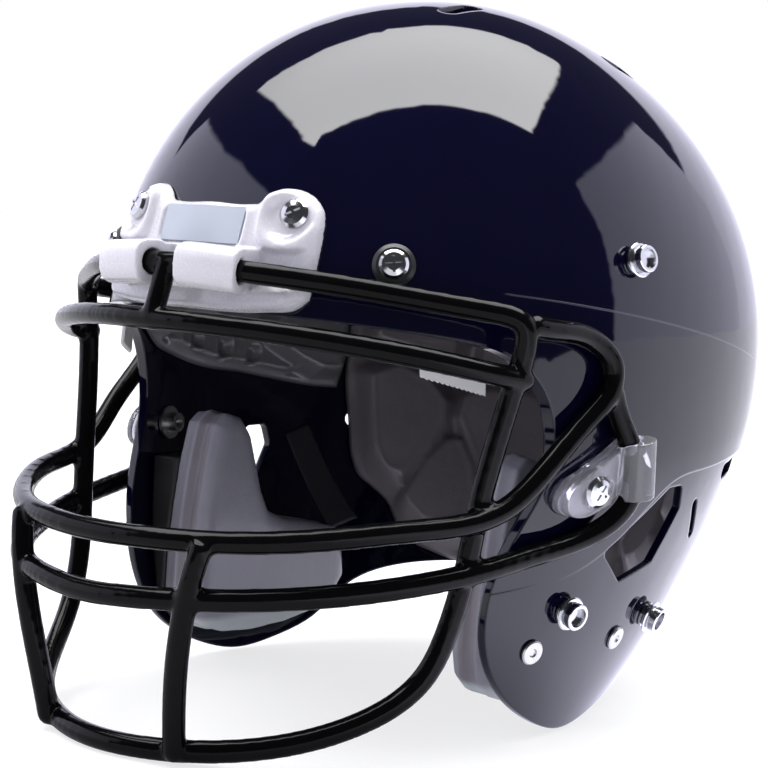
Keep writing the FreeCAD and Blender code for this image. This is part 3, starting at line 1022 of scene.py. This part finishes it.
@dataclass
class Liner:
    """All the cushions round the head."""

    tray_low: tuple = ((-57.0, -9.8), (-63.0, -12.4), (-70.3, -13.6), (-82.5, -14.6), (-94.1, -13.9),
                       (-105.1, -13.4), (-115.9, -12.6), (-122.0, -11.6))
    tray_end: tuple = ((-122.0, -11.6), (-123.2, -5.0), (-121.0, 10.0), (-115.0, 30.0))
    tray_top: tuple = ((-63.0, 25.0), (-88.0, 31.0), (-115.0, 30.0))
    tray_front: tuple = ((-57.0, -9.8), (-56.8, -4.0), (-59.0, 10.0), (-63.0, 25.0))
    side_cells: tuple = (
        Chamber(((-62, -1.0), (-76, -3.6), (-89, -4.0), (-92, 4), (-90, 22), (-78, 20), (-66, 16)), 11, 6),
        Chamber(((-98.5, -6.0), (-107.0, -8.4), (-113.8, -9.5), (-119.5, -8.4), (-118, 4), (-114, 22),
                 (-98, 22)), 13.5, 5),
        Chamber(((-59, -9.2), (-70, -11.4), (-82, -12.4), (-94, -11.8), (-105, -11.2), (-112, -9),
                 (-100, -5), (-60, -4)), 4.2, 2.5, 0.3))
    side_pockets: tuple = (Pocket((-64.4, -9.4), (4.2, 3.6), 3.6), Pocket((-73.6, -9.4), (4.4, 4.2), 4.0),
                           Pocket((-84.4, -9.9), (4.6, 4.6), 4.0), Pocket((-94.4, -9.8), (4.4, 4.2), 3.8))
    corner_cells: tuple = (
        ((-129.1, -8.4), (-135.3, -4.9), (-142.2, -6.6), (-146.7, -10.5), (-146.9, -14.9),
         (-144.7, -19.8), (-139.4, -27.6), (-135.6, -27.9), (-132.6, -23.8), (-130.6, -16.6)),
        ((-141.6, -33.4), (-145.5, -24.0), (-148.9, -18.9), (-151.5, -17.9), (-155.1, -22.7),
         (-157.2, -28.6), (-156.0, -34.0), (-149.0, -37.0)),
        ((-150.8, -12.7), (-151.3, -8.2), (-155.3, -6.3), (-163.1, -5.5), (-168.5, -7.0),
         (-171.5, -12.6), (-170.4, -18.1), (-166.4, -25.1), (-162.6, -29.2), (-156.6, -21.5)),
        ((-129, 1.5), (-146, 0.5), (-148, 14), (-144, 28), (-128, 26)),
        ((-153.5, 0), (-172, 0), (-173, 16), (-170, 30), (-152, 30)))
    back_cells: tuple = (((-166, -32), (-180, -27), (-194, -32), (-190, -36.5), (-170, -36.5)),)
    crown_cells: tuple = (((-50, -68), (-6, -70), (-6, -10), (-48, -8)),
                          ((-48, 2), (-6, 4), (-6, 60), (-40, 58)))
    brow_cells: tuple = (((-36, 1.0), (-14, -1.2), (-13, 8), (-35, 12)),
                         ((-9, -1.6), (9, -1.6), (9, 9), (-9, 9)))

    def sides(self, paints: Paintbox) -> None:
        """Builds the two clear-grey side trays, each with its row of pockets.

        Args:
            paints: the finishes.
        """
        for name, mirror in (("right_liner", False), ("left_liner", True)):
            turn = other_side if mirror else tuple
            patch = Patch(CAVITY, View.ANGLES, turn(self.tray_low), turn(self.tray_top),
                          turn(self.tray_front), turn(self.tray_end), 1.1)
            cells = tuple(Chamber(turn(c.outline), c.height, c.slope, c.crown) for c in self.side_cells)
            pockets = tuple(Pocket(turn((p.at,))[0], p.half, p.depth) for p in self.side_pockets)
            snap = turn(((-74.5, 13.1),))[0]
            MouldedCushion(name, (name,), "brow_grey", patch, cells, pockets, 2.4,
                           dimples=((snap, 9.0),)).build(paints)

    def back(self, paints: Paintbox) -> None:
        """Builds the one-piece liner that runs round the back of the head.

        Args:
            paints: the finishes.
        """
        left = ((-146.0, -38.0), (-140.5, -34.8), (-137.4, -31.2), (-133.4, -29.2), (-129.8, -27.6),
                (-128.0, -24.9), (-125.9, -17.3), (-124.0, -10.4), (-122.8, -2.0), (-122.0, 12.0),
                (-124.0, 30.0))
        right = tuple((-360.0 - a, e) for a, e in left)
        bottom = (left[0], (-156.0, -39.5), (-168.0, -40.0), (-180.0, -40.0), (-192.0, -40.0),
                  (-204.0, -39.5), right[0])
        top = (left[-1], (-150.0, 34.0), (-180.0, 36.0), (-210.0, 34.0), right[-1])
        outlines = self.corner_cells + tuple(tuple((-360.0 - a, e) for a, e in c)
                                             for c in self.corner_cells)
        cells = tuple(Chamber(o) for o in outlines) + tuple(Chamber(o, 9.0, 6.0)
                                                            for o in self.back_cells)
        MouldedCushion("rear_liner", ("rear_liner", "rear_left_liner", "rear_right_liner"),
                       "liner_grey", Patch(CAVITY, View.ANGLES, bottom, top, left, right, 1.5),
                       cells).build(paints)

    def crown(self, paints: Paintbox) -> None:
        """Builds the crown cushion.

        Args:
            paints: the finishes.
        """
        patch = Patch(CAVITY, View.TOP, ((-57, -76), (0, -79), (57, -76)), ((-50, 66), (0, 69), (50, 66)),
                      ((-57, -76), (-59, 0), (-50, 66)), ((57, -76), (59, 0), (50, 66)), 2.0)
        cells = self.crown_cells + tuple(other_side(c) for c in self.crown_cells)
        MouldedCushion("crown_pad", ("crown_pad",), "liner_grey", patch,
                       tuple(Chamber(c, 13.0, 6.0) for c in cells)).build(paints)

    def brow(self, paints: Paintbox) -> None:
        """Builds the forehead cushion.

        Args:
            paints: the finishes.
        """
        patch = Patch(CAVITY, View.ANGLES, ((-37, -3.2), (-18, -5.2), (0, -5.8), (18, -5.2), (37, -3.2)),
                      ((-40, 17.5), (-19, 15.5), (0, 14.5), (19, 15.5), (40, 17.5)),
                      ((-37, -3.2), (-39, 7), (-40, 17.5)), ((37, -3.2), (39, 7), (40, 17.5)), 1.3)
        cells = self.brow_cells + (other_side(self.brow_cells[0]),)
        nuts = tuple((at, 9.2) for at in ((16.2, 7.5), (-16.2, 7.5), (31.7, 2.6), (-31.7, 2.6)))
        MouldedCushion("brow_pad", ("brow_pad",), "brow_grey", patch,
                       tuple(Chamber(c, 13.0, 4.0) for c in cells), dimples=nuts).build(paints)

    def build(self, paints: Paintbox) -> None:
        """Builds every cushion.

        Args:
            paints: the finishes.
        """
        self.sides(paints)
        self.back(paints)
        self.crown(paints)
        self.brow(paints)


# ---- jaw pads --------------------------------------------------------------------------------------
@dataclass
class JawPads:
    """The jaw cushions, each with a moulded ridge round its walls."""

    outline: tuple = ((-62, -45.5), (-68, -50), (-72, -66), (-75, -85), (-77, -103), (-77.5, -119),
                      (-75.5, -128.5), (-69, -134.5), (-58, -138), (-42, -139), (-22, -138), (-4, -135),
                      (8, -129), (15, -121), (14, -111), (10.5, -99), (-7, -95.5), (-24, -92.5),
                      (-35, -88), (-40, -79), (-44, -67), (-48, -55), (-54, -47.5))
    ridge: float = 79.0
    core: float = 86.0
    round_over: float = 7.0
    face: float = 74.0
    face_fall: float = 4.2
    ridge_form: tuple = (0.85, 1.2)
    grooves: tuple = ((0.9, 74.5, 2.2), (0.6, 84.0, 3.0))
    voxel: float = 1.15
    backing_voxel: float = 0.9

    def cut(self, piece: bpy.types.Object, keep_face: bool) -> None:
        """Cuts a copy of the cushion at the depth where the black core starts.

        Args:
            piece: the copy.
            keep_face: True keeps the part at the face and False the part at the shell.
        """
        sign = 1.0 if read_points(piece)[:, 0].mean() > 0 else -1.0
        pick(piece)
        bpy.ops.object.mode_set(mode="EDIT")
        bpy.ops.mesh.select_all(action="SELECT")
        bpy.ops.mesh.bisect(plane_co=placed((sign * self.core, 0, 0)), plane_no=(sign, 0, 0),
                            use_fill=True, clear_outer=keep_face, clear_inner=not keep_face)
        bpy.ops.object.mode_set(mode="OBJECT")

    def shape(self, piece: bpy.types.Object) -> None:
        """Crowns the face, rounds it over and raises the ridge.

        Args:
            piece: the remeshed cushion.
        """
        points, normals = read_points(piece), read_normals(piece)
        sign = np.sign(points[:, 0].mean())
        depth = points[:, 0] * sign
        gap = -border_distance(points[:, 1:], self.outline)
        near_face = ease((self.face - depth) / 8.0)
        turn = np.clip(1.0 - gap / self.round_over, 0.0, 1.0)
        fall = 1.0 - np.sqrt(np.clip(1.0 - turn ** 2, 0.0, 1.0))
        points[:, 0] += sign * near_face * self.face_fall * fall
        wall = ease((0.75 - np.abs(normals[:, 0])) / 0.35)
        tall, width = self.ridge_form
        lift = tall * np.exp(-((depth - self.ridge) / width) ** 2)
        for sunk, at, width in self.grooves:
            lift = lift - sunk * np.exp(-((depth - at) / width) ** 2)
        points += normals * (wall * lift)[:, None]
        write_points(piece, points)

    def build(self, paints: Paintbox) -> None:
        """Builds both cushions and their backings.

        Args:
            paints: the finishes.
        """
        for side in ("left", "right"):
            body = side + "_jaw"
            pad = copy_of(side + "_jaw_cushion", side + "_jaw_pad")
            core = copy_of(side + "_jaw_core", side + "_jaw_pad")
            self.cut(pad, True)
            self.cut(core, False)
            soften(pad, self.voxel, 5)
            self.shape(pad)
            pick(pad)
            smooth = pad.modifiers.new("eased", "SMOOTH")
            smooth.factor, smooth.iterations = 0.5, 3
            bpy.ops.object.modifier_apply(modifier=smooth.name)
            paints.dress(pad, "jaw_vinyl")
            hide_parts(side + "_jaw_pad")
            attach(pad, body)
            backing = copy_of(side + "_jaw_back", side + "_jaw_backing")
            pick(backing, core)
            bpy.ops.object.join()
            soften(backing, self.backing_voxel, 5)
            paints.dress(backing, "backing_black")
            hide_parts(side + "_jaw_backing")
            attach(backing, body)
            LOG.info("%s jaw pad: %d faces", side, len(pad.data.polygons))


# ---- mask ------------------------------------------------------------------------------------------
@dataclass
class Mask:
    """The face mask: its wires run together at the welds under one dipped coating."""

    wires: tuple = ("top_bar", "brow_bar", "upper_wire", "lower_wire", "chin_wire", "front_post_left",
                    "front_post_right", "centre_post")
    voxel: float = 1.05
    coating: float = 0.5

    def build(self, paints: Paintbox) -> None:
        """Builds the mask in one skin.

        Args:
            paints: the finishes.
        """
        mask = copy_of("face_mask", *self.wires)
        soften(mask, self.voxel, 7)
        write_points(mask, read_points(mask) + read_normals(mask) * self.coating)
        paints.dress(mask, "mask_coating")
        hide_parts(*self.wires)
        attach(mask, "helmet")
        LOG.info("face mask: %d faces", len(mask.data.polygons))


# ---- front bumper ----------------------------------------------------------------------------------
@dataclass
class Bumper:
    """The white forehead bumper: a domed plate with two screw ears, a framed window and two hooks."""

    top: tuple = ((-47.2, 33.5), (-45.6, 39.0), (-41.5, 43.6), (-36.0, 46.2), (-30.0, 46.4),
                  (-25.4, 43.8), (-22.6, 41.2), (-18.0, 40.6), (0.0, 40.9), (18.0, 40.6), (22.6, 41.2),
                  (25.4, 43.8), (30.0, 46.4), (36.0, 46.2), (41.5, 43.6), (45.6, 39.0), (47.2, 33.5))
    bottom: tuple = ((-47.0, 8.5), (-43.0, 4.8), (-34.0, 3.5), (0.0, 2.8), (34.0, 3.5), (43.0, 4.8),
                     (47.0, 8.5))
    thick: float = 5.7
    ear: float = 8.3
    ear_size: float = 11.6
    seat: float = 5.05
    window: tuple = (20.3, 25.6, 39.2)
    window_floor: float = 4.1
    lip: float = 9.0
    bar: tuple = ((-58.2, -144.6, 14.9), (-29.0, -160.0, 17.6), (0.0, -164.0, 18.8),
                  (29.0, -160.0, 17.6), (58.2, -144.6, 14.9))
    hook: tuple = (8.6, 31.2)
    hook_outer: float = 8.0
    hook_inner: float = 4.7
    hook_sides: int = 40
    web_at: tuple = (-151.5, 20.2)
    web_size: tuple = (17.0, 10.5)
    side_bow: float = 1.013
    lip_radius: float = 3.2
    sunk: float = 0.25
    voxel: float = 0.55

    def thickness(self, points: np.ndarray) -> np.ndarray:
        """Height above the shell at points of the front view.

        Args:
            points: x and z of the front view, one point a row.

        Returns:
            A height in millimetres for each point.
        """
        x, z = np.abs(points[:, 0]), points[:, 1]
        low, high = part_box("bumper_screw_left")
        middle = (low + high) / 2 / MM - PLACE
        cx, cz = middle.x, middle.z
        from_screw = np.hypot(x - cx, z - cz)
        square = ((np.abs(x - cx)) ** 3.2 + (np.abs(z - cz) * 0.94) ** 3.2) ** (1 / 3.2)
        ear = ease((self.ear_size + 1.2 - square) / 2.4)
        height = self.thick + (self.ear - self.thick) * ear
        dish = self.seat + (height - self.seat) * ease((from_screw - 6.5) / 3.6)
        height = np.where(from_screw < 10.5, dish, height)
        half, floor, ceiling = self.window
        gap = np.hypot(np.maximum(x - half + 3, 0), np.maximum(np.abs(z - (floor + ceiling) / 2)
                       - (ceiling - floor) / 2 + 3, 0)) - 3
        frame_rise = 0.5 * np.exp(-((gap - 1.4) / 1.0) ** 2)
        height = height + frame_rise * (1 - ear)
        height = height + (self.window_floor - height) * ease((0.25 - gap) / 0.8)
        return height + (self.lip - self.thick) * ease((12.6 - z) / 2.2) * ease((45.5 - x) / 3.0)

    def plate(self) -> bpy.types.Object:
        """The domed plate that lies on the shell.

        Returns:
            The plate.
        """
        sides = [((x, self.bottom[i][1]), (x * self.side_bow, 22.0), self.top[i])
                 for x, i in ((-47.0, 0), (47.0, -1))]
        patch = Patch(UPPER, View.FRONT, self.bottom, self.top, sides[0], sides[1], 0.7)
        flat = patch.grid()
        rim = patch.rim(flat)
        lip = rounded(rim, self.lip_radius)
        height = self.thickness(flat.reshape(-1, 2)).reshape(rim.shape)
        low = np.full(rim.shape, -self.sunk)
        high = -self.sunk - (height - self.sunk) * (0.42 + 0.58 * lip)
        piece = patch.mesh("front_bumper_skin", flat, low, high)
        self.close(piece)
        return piece

    def close(self, piece: bpy.types.Object) -> None:
        """Joins the plate's two skins along their open borders.

        Args:
            piece: the plate.
        """
        work = bmesh.new()
        work.from_mesh(piece.data)
        open_edges = [edge for edge in work.edges if edge.is_boundary]
        bmesh.ops.bridge_loops(work, edges=open_edges)
        bmesh.ops.recalc_face_normals(work, faces=work.faces)
        work.to_mesh(piece.data)
        work.free()

    def hook_tube(self, side: int) -> bpy.types.Object:
        """A hollow sleeve round the top bar.

        Args:
            side: 1 for the wearer's left and -1 for the right.

        Returns:
            The sleeve.
        """
        low, high = (v * side for v in self.hook)
        share = np.linspace(0, 1, 400)
        line = run_through(self.bar, share, False)
        wanted = np.linspace(min(low, high), max(low, high), 30)
        middle = np.stack([np.interp(wanted, line[:, 0], line[:, i]) for i in range(3)], -1)
        along = np.gradient(middle, axis=0)
        along /= np.linalg.norm(along, axis=1)[:, None]
        up = np.cross(along, np.array([0.0, -1.0, 0.0]))
        up /= np.linalg.norm(up, axis=1)[:, None]
        out = np.cross(up, along)
        turns = np.linspace(0, 2 * math.pi, self.hook_sides, endpoint=False)
        rings = []
        for radius, squash in ((self.hook_outer, True), (self.hook_inner, False)):
            c, s = np.cos(turns), np.sin(turns)
            power = np.ones(self.hook_sides)
            if squash:
                power = 1.0 / (np.abs(c) ** 3 + np.abs(s) ** 3) ** (1 / 3)
            ring = (middle[:, None] + radius * (power * c)[None, :, None] * up[:, None]
                    + radius * (power * s)[None, :, None] * out[:, None])
            rings.append(ring)
        points = np.concatenate([r.reshape(-1, 3) for r in rings])
        count, faces = len(wanted) * self.hook_sides, []
        number = np.arange(count).reshape(-1, self.hook_sides)
        for shift in (0, count):
            ring = number + shift
            after = np.roll(ring, -1, axis=1)
            faces += np.stack([ring[:-1], ring[1:], after[1:], after[:-1]], -1).reshape(-1, 4).tolist()
        for row in (number[0], number[-1]):
            after = np.roll(row, -1)
            faces += np.stack([row, after, after + count, row + count], -1).tolist()
        return make_piece("hook", points, faces)

    def web(self, side: int) -> bpy.types.Object:
        """The block that joins a hook to the plate.

        Args:
            side: 1 for the wearer's left and -1 for the right.

        Returns:
            The block.
        """
        low, high = sorted(v * side for v in self.hook)
        pick_none()
        middle = placed(((low + high) / 2, *self.web_at))
        bpy.ops.mesh.primitive_cube_add(size=1.0, location=middle)
        block = bpy.context.object
        block.scale = ((high - low) * MM, self.web_size[0] * MM, self.web_size[1] * MM)
        bpy.ops.object.transform_apply(location=True, rotation=True, scale=True)
        return block

    def build(self, paints: Paintbox) -> None:
        """Builds the bumper in one skin.

        Args:
            paints: the finishes.
        """
        parts = [self.plate()] + [make(side) for make in (self.hook_tube, self.web) for side in (1, -1)]
        pick(*parts)
        bpy.ops.object.join()
        bumper = parts[0]
        soften(bumper, self.voxel, 4)
        bumper.name = "forehead_bumper"
        paints.dress(bumper, "bumper_white")
        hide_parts("front_bumper")
        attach(bumper, "helmet")
        LOG.info("forehead bumper: %d faces", len(bumper.data.polygons))


def pick_none() -> None:
    """Deselects everything."""
    bpy.ops.object.select_all(action="DESELECT")


# ---- clips and tabs --------------------------------------------------------------------------------
@dataclass
class SideFittings:
    """The clear side clips and the white brow tabs."""

    voxel: float = 0.42
    strap_at: tuple = (-54.0, -51.5)
    strap_side: tuple = (-0.287, 0.958)
    slim: float = 0.66
    slim_loop: float = 0.78
    screw_at: tuple = (-60.5, -53.5)
    swing: float = 9.0
    grow: float = 1.06
    tab_rise: tuple = (0.4, 1.4)
    label_rise: tuple = (0.06, 0.4)
    tab: tuple = ((-115.0, -15.6), (-97.0, -21.2), (-97.0, -11.5), (-115.0, -5.4))
    label: tuple = ((13.5, -61.5), (27.5, -57.0), (44.0, -100.0), (29.0, -105.0))
    pinks: int = 13

    def clips(self, paints: Paintbox) -> None:
        """Builds both clips with rounded edges.

        Args:
            paints: the finishes.
        """
        for side in ("left", "right"):
            clip = copy_of(side + "_strap", side + "_clip")
            points = read_points(clip)
            rise = (points[:, 1:] - np.array(self.strap_at)) @ np.array(self.strap_side)
            share = ease((points[:, 1] + 62.0) / 16.0)
            change = (self.slim + (self.slim_loop - self.slim) * share - 1.0) * rise
            points[:, 1:] += change[:, None] * np.array(self.strap_side)
            y, z = points[:, 1] - self.screw_at[0], points[:, 2] - self.screw_at[1]
            c, s = math.cos(math.radians(self.swing)), math.sin(math.radians(self.swing))
            points[:, 1] = self.screw_at[0] + self.grow * (y * c - z * s)
            points[:, 2] = self.screw_at[1] + self.grow * (y * s + z * c)
            write_points(clip, points)
            soften(clip, self.voxel, 11)
            paints.dress(clip, "clip_clear")
            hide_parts(side + "_clip")
            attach(clip, "helmet")
            LOG.info("%s clip: %d faces", side, len(clip.data.polygons))

    def tabs(self, paints: Paintbox) -> None:
        """Builds both tabs, each with a pinked lower edge.

        Args:
            paints: the finishes.
        """
        a, b, c, d = (np.array(p) for p in self.tab)
        low = []
        for step in range(2 * self.pinks + 1):
            point = a + (b - a) * step / (2 * self.pinks)
            low.append((point[0], point[1] - (0.0 if step % 2 else 0.9)))
        tabs = []
        for view in (View.LEFT, View.RIGHT):
            patch = Patch(CAVITY, view, tuple(low), (tuple(d), tuple(c)), (low[0], tuple(d)),
                          (low[-1], tuple(c)), 0.25, True)
            flat = patch.grid()
            rim = patch.rim(flat)
            lip = rounded(rim, 0.7)
            base, rise = self.tab_rise
            tabs.append(patch.mesh("tab", flat, np.full(rim.shape, base), base + rise * lip))
        pick(*tabs)
        bpy.ops.object.join()
        tabs[0].name = "brow_tab_pair"
        paints.dress(tabs[0], "tab_white")
        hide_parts("brow_tabs")
        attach(tabs[0], "helmet")
        LOG.info("brow tabs: %d faces", len(tabs[0].data.polygons))

    def blank_label(self, paints: Paintbox) -> None:
        """Builds the blank dark label inside the shell.

        Args:
            paints: the finishes.
        """
        a, b, c, d = self.label
        patch = Patch(CAVITY, View.RIGHT, (d, c), (a, b), (d, a), (c, b), 1.0, True)
        flat = patch.grid()
        rim = patch.rim(flat)
        base, rise = self.label_rise
        label = patch.mesh("blank_label", flat, np.full(rim.shape, base), base + rise * ease(rim / 0.8))
        paints.dress(label, "label_dark")
        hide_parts("inner_label")
        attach(label, "helmet")
        LOG.info("blank label: %d faces", len(label.data.polygons))

    def build(self, paints: Paintbox) -> None:
        """Builds the clips, tabs and label.

        Args:
            paints: the finishes.
        """
        self.clips(paints)
        self.tabs(paints)
        self.blank_label(paints)


# ---- studio ----------------------------------------------------------------------------------------
@dataclass(frozen=True)
class SoftBox:
    """A square light overhead, given on the ceiling plane one unit up."""

    along: tuple = (0.700, 0.714)
    left: float = -0.74
    right: float = 0.70
    near: float = -0.165
    far: float = 0.84
    glow_near: float = 10.0
    glow_far: float = 3.6

    def shine(self, bench: Bench, look: Socket) -> Socket:
        """Adds the light's glow in each direction.

        Args:
            bench: the world's nodes.
            look: direction looked in.

        Returns:
            The glow.
        """
        ex, ey = self.along
        up = bench.node("SeparateXYZ", {"output": "Z"}, look)
        across = bench.node("VectorMath", {"operation": "DOT_PRODUCT", "output": "Value"}, look,
                            (ex, ey, 0)) / up
        away = bench.node("VectorMath", {"operation": "DOT_PRODUCT", "output": "Value"}, look,
                          (-ey, ex, 0)) / up
        inside = (across.step(self.left, self.left + 0.03) * across.step(self.right, self.right - 0.03)
                  * away.step(self.near, self.near + 0.02) * away.step(self.far, self.far - 0.03)
                  * up.step(0.15, 0.16))
        fall = bench.node("MapRange", {}, away, self.near, self.far, self.glow_near, self.glow_far)
        return inside * fall


@dataclass(frozen=True)
class Wall:
    """An upright white panel, given by the direction that it stands in, in degrees."""

    facing: float
    left: float
    right: float
    top: float
    glow: float

    def shine(self, bench: Bench, look: Socket) -> Socket:
        """Adds the panel's glow in each direction.

        Args:
            bench: the world's nodes.
            look: direction looked in.

        Returns:
            The glow.
        """
        a = math.radians(self.facing)
        dot = {"operation": "DOT_PRODUCT", "output": "Value"}
        ahead = bench.node("VectorMath", dot, look, (math.sin(a), -math.cos(a), 0))
        side = bench.node("VectorMath", dot, look, (math.cos(a), math.sin(a), 0)) / ahead
        height = bench.node("SeparateXYZ", {"output": "Z"}, look) / ahead
        left, right = (math.tan(math.radians(v - self.facing)) for v in (self.left, self.right))
        top = math.tan(math.radians(self.top))
        return (side.step(left - 0.015, left + 0.015) * side.step(right + 0.015, right - 0.015)
                * height.step(top + 0.02, top - 0.02) * ahead.step(0.0, 0.01) * self.glow)


@dataclass
class Studio:
    """The camera, soft lights, floor and surroundings."""

    overhead: SoftBox = SoftBox()
    walls: tuple = (Wall(135.4, 123.4, 176.6, 37.4, 1.22), Wall(-54.0, -97.0, -30.0, 37.4, 1.30),
                    Wall(220.0, 176.6, 263.0, 27.0, 1.4))
    fill: float = 0.05
    room: float = 0.85

    azimuth: float = 40.14
    elevation: float = 4.71
    roll: float = 3.02
    distance: float = 840.92
    slide: tuple = (-29.83, -28.75)
    lens: float = 95.37
    shade: tuple = (0.97, 0.96, 1.16)
    floor_size: float = 60.0
    floor_shade: tuple = (0.94, 0.93, 1.16)
    floor_glow: tuple = (0.42, 0.30)
    near_glow: float = 1.4
    far_loss: float = 1.0

    def axes(self) -> tuple:
        """The camera's right, up and back directions.

        Returns:
            The three directions.
        """
        a, e, r = (math.radians(v) for v in (self.azimuth, self.elevation, self.roll))
        back = Vector((math.sin(a) * math.cos(e), -math.cos(a) * math.cos(e), math.sin(e)))
        right = Vector((math.cos(a), math.sin(a), 0.0))
        up = back.cross(right)
        return (right * math.cos(r) + up * math.sin(r), up * math.cos(r) - right * math.sin(r), back)

    def camera(self) -> None:
        """Places the camera."""
        right, up, back = self.axes()
        where = back * self.distance + right * self.slide[0] + up * self.slide[1]
        data = bpy.data.cameras.new("camera")
        data.lens, data.sensor_width = self.lens, 36.0
        data.clip_start, data.clip_end = 0.01, 20.0
        eye = bpy.data.objects.new("camera", data)
        bpy.context.scene.collection.objects.link(eye)
        turn = Matrix((right, up, back)).transposed().to_4x4()
        eye.matrix_world = Matrix.Translation(placed(where)) @ turn
        bpy.context.scene.camera = eye

    def surroundings(self) -> None:
        """A white room with an overhead soft box, two side walls and a backdrop."""
        world = bpy.data.worlds.new("studio")
        bpy.context.scene.world = world
        bench = Bench(world)
        look = bench.node("TexCoord", {"output": "Generated"})
        glow = self.overhead.shine(bench, look) + self.fill
        for wall in self.walls:
            glow = glow + wall.shine(bench, look)
        path = bench.node("LightPath", {"output": "Is Camera Ray"})
        diffuse = bench.node("LightPath", {"output": "Is Diffuse Ray"})
        strength = (glow + diffuse * self.room) * (1 - path) + path
        shade = bench.node("MixRGB", {}, (1 - path) * bench.node("SeparateXYZ", {"output": "Z"}, look)
                           .step(0.66, 0.58), (1.0, 1.0, 1.0), self.shade)
        seen = bench.node("Background", {}, shade, strength)
        out = bench.tree.nodes.new("ShaderNodeOutputWorld")
        bench.tree.links.new(seen.output, out.inputs["Surface"])

    def floor(self) -> None:
        """A plain pale floor under the helmet, softly lit from inside like a light table."""
        bpy.ops.mesh.primitive_plane_add(size=self.floor_size, location=(0, 0, -0.0005))
        ground = bpy.context.object
        ground.name = "floor"
        recipe = Recipe("floor_pale")
        place = recipe.node("TexCoord", {"output": "Object"})
        along = recipe.node("VectorMath", {"operation": "DOT_PRODUCT", "output": "Value"}, place,
                            (0.72, 0.69, 0.0))
        shiny = recipe.node("LightPath", {"output": "Is Glossy Ray"})
        seen, always = self.floor_glow
        nearby = along.step(-0.02, 0.13) * self.near_glow - along.step(0.22, 0.60) * self.far_loss
        glow = (recipe.node("LightPath", {"output": "Is Camera Ray"}) * seen + always
                + shiny * (nearby - 0.14))
        white = recipe.blend(shiny, (1.0, 1.0, 1.0), self.floor_shade)
        recipe.set(Base_Color=(0.30, 0.30, 0.30), Roughness=0.8, Specular_IOR_Level=0.1,
                   Emission_Color=recipe.blend(glow * 0.4, (0.0, 0.0, 0.0), white), Emission_Strength=2.5)
        ground.data.materials.append(recipe.material)

    def build(self) -> None:
        """Sets up the whole studio."""
        bpy.context.scene.view_settings.view_transform = "Standard"
        self.camera()
        self.surroundings()
        self.floor()


def main() -> None:
    """Builds the helmet's looks in order and reports each piece."""
    logging.basicConfig(level=logging.INFO, format="%(message)s")
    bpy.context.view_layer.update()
    paints = Paintbox()
    paints.fill()
    paints.dress_frame()
    Mask().build(paints)
    Bumper().build(paints)
    SideFittings().build(paints)
    JawPads().build(paints)
    Liner().build(paints)
    Studio().build()


if __name__ == "__main__":
    main()
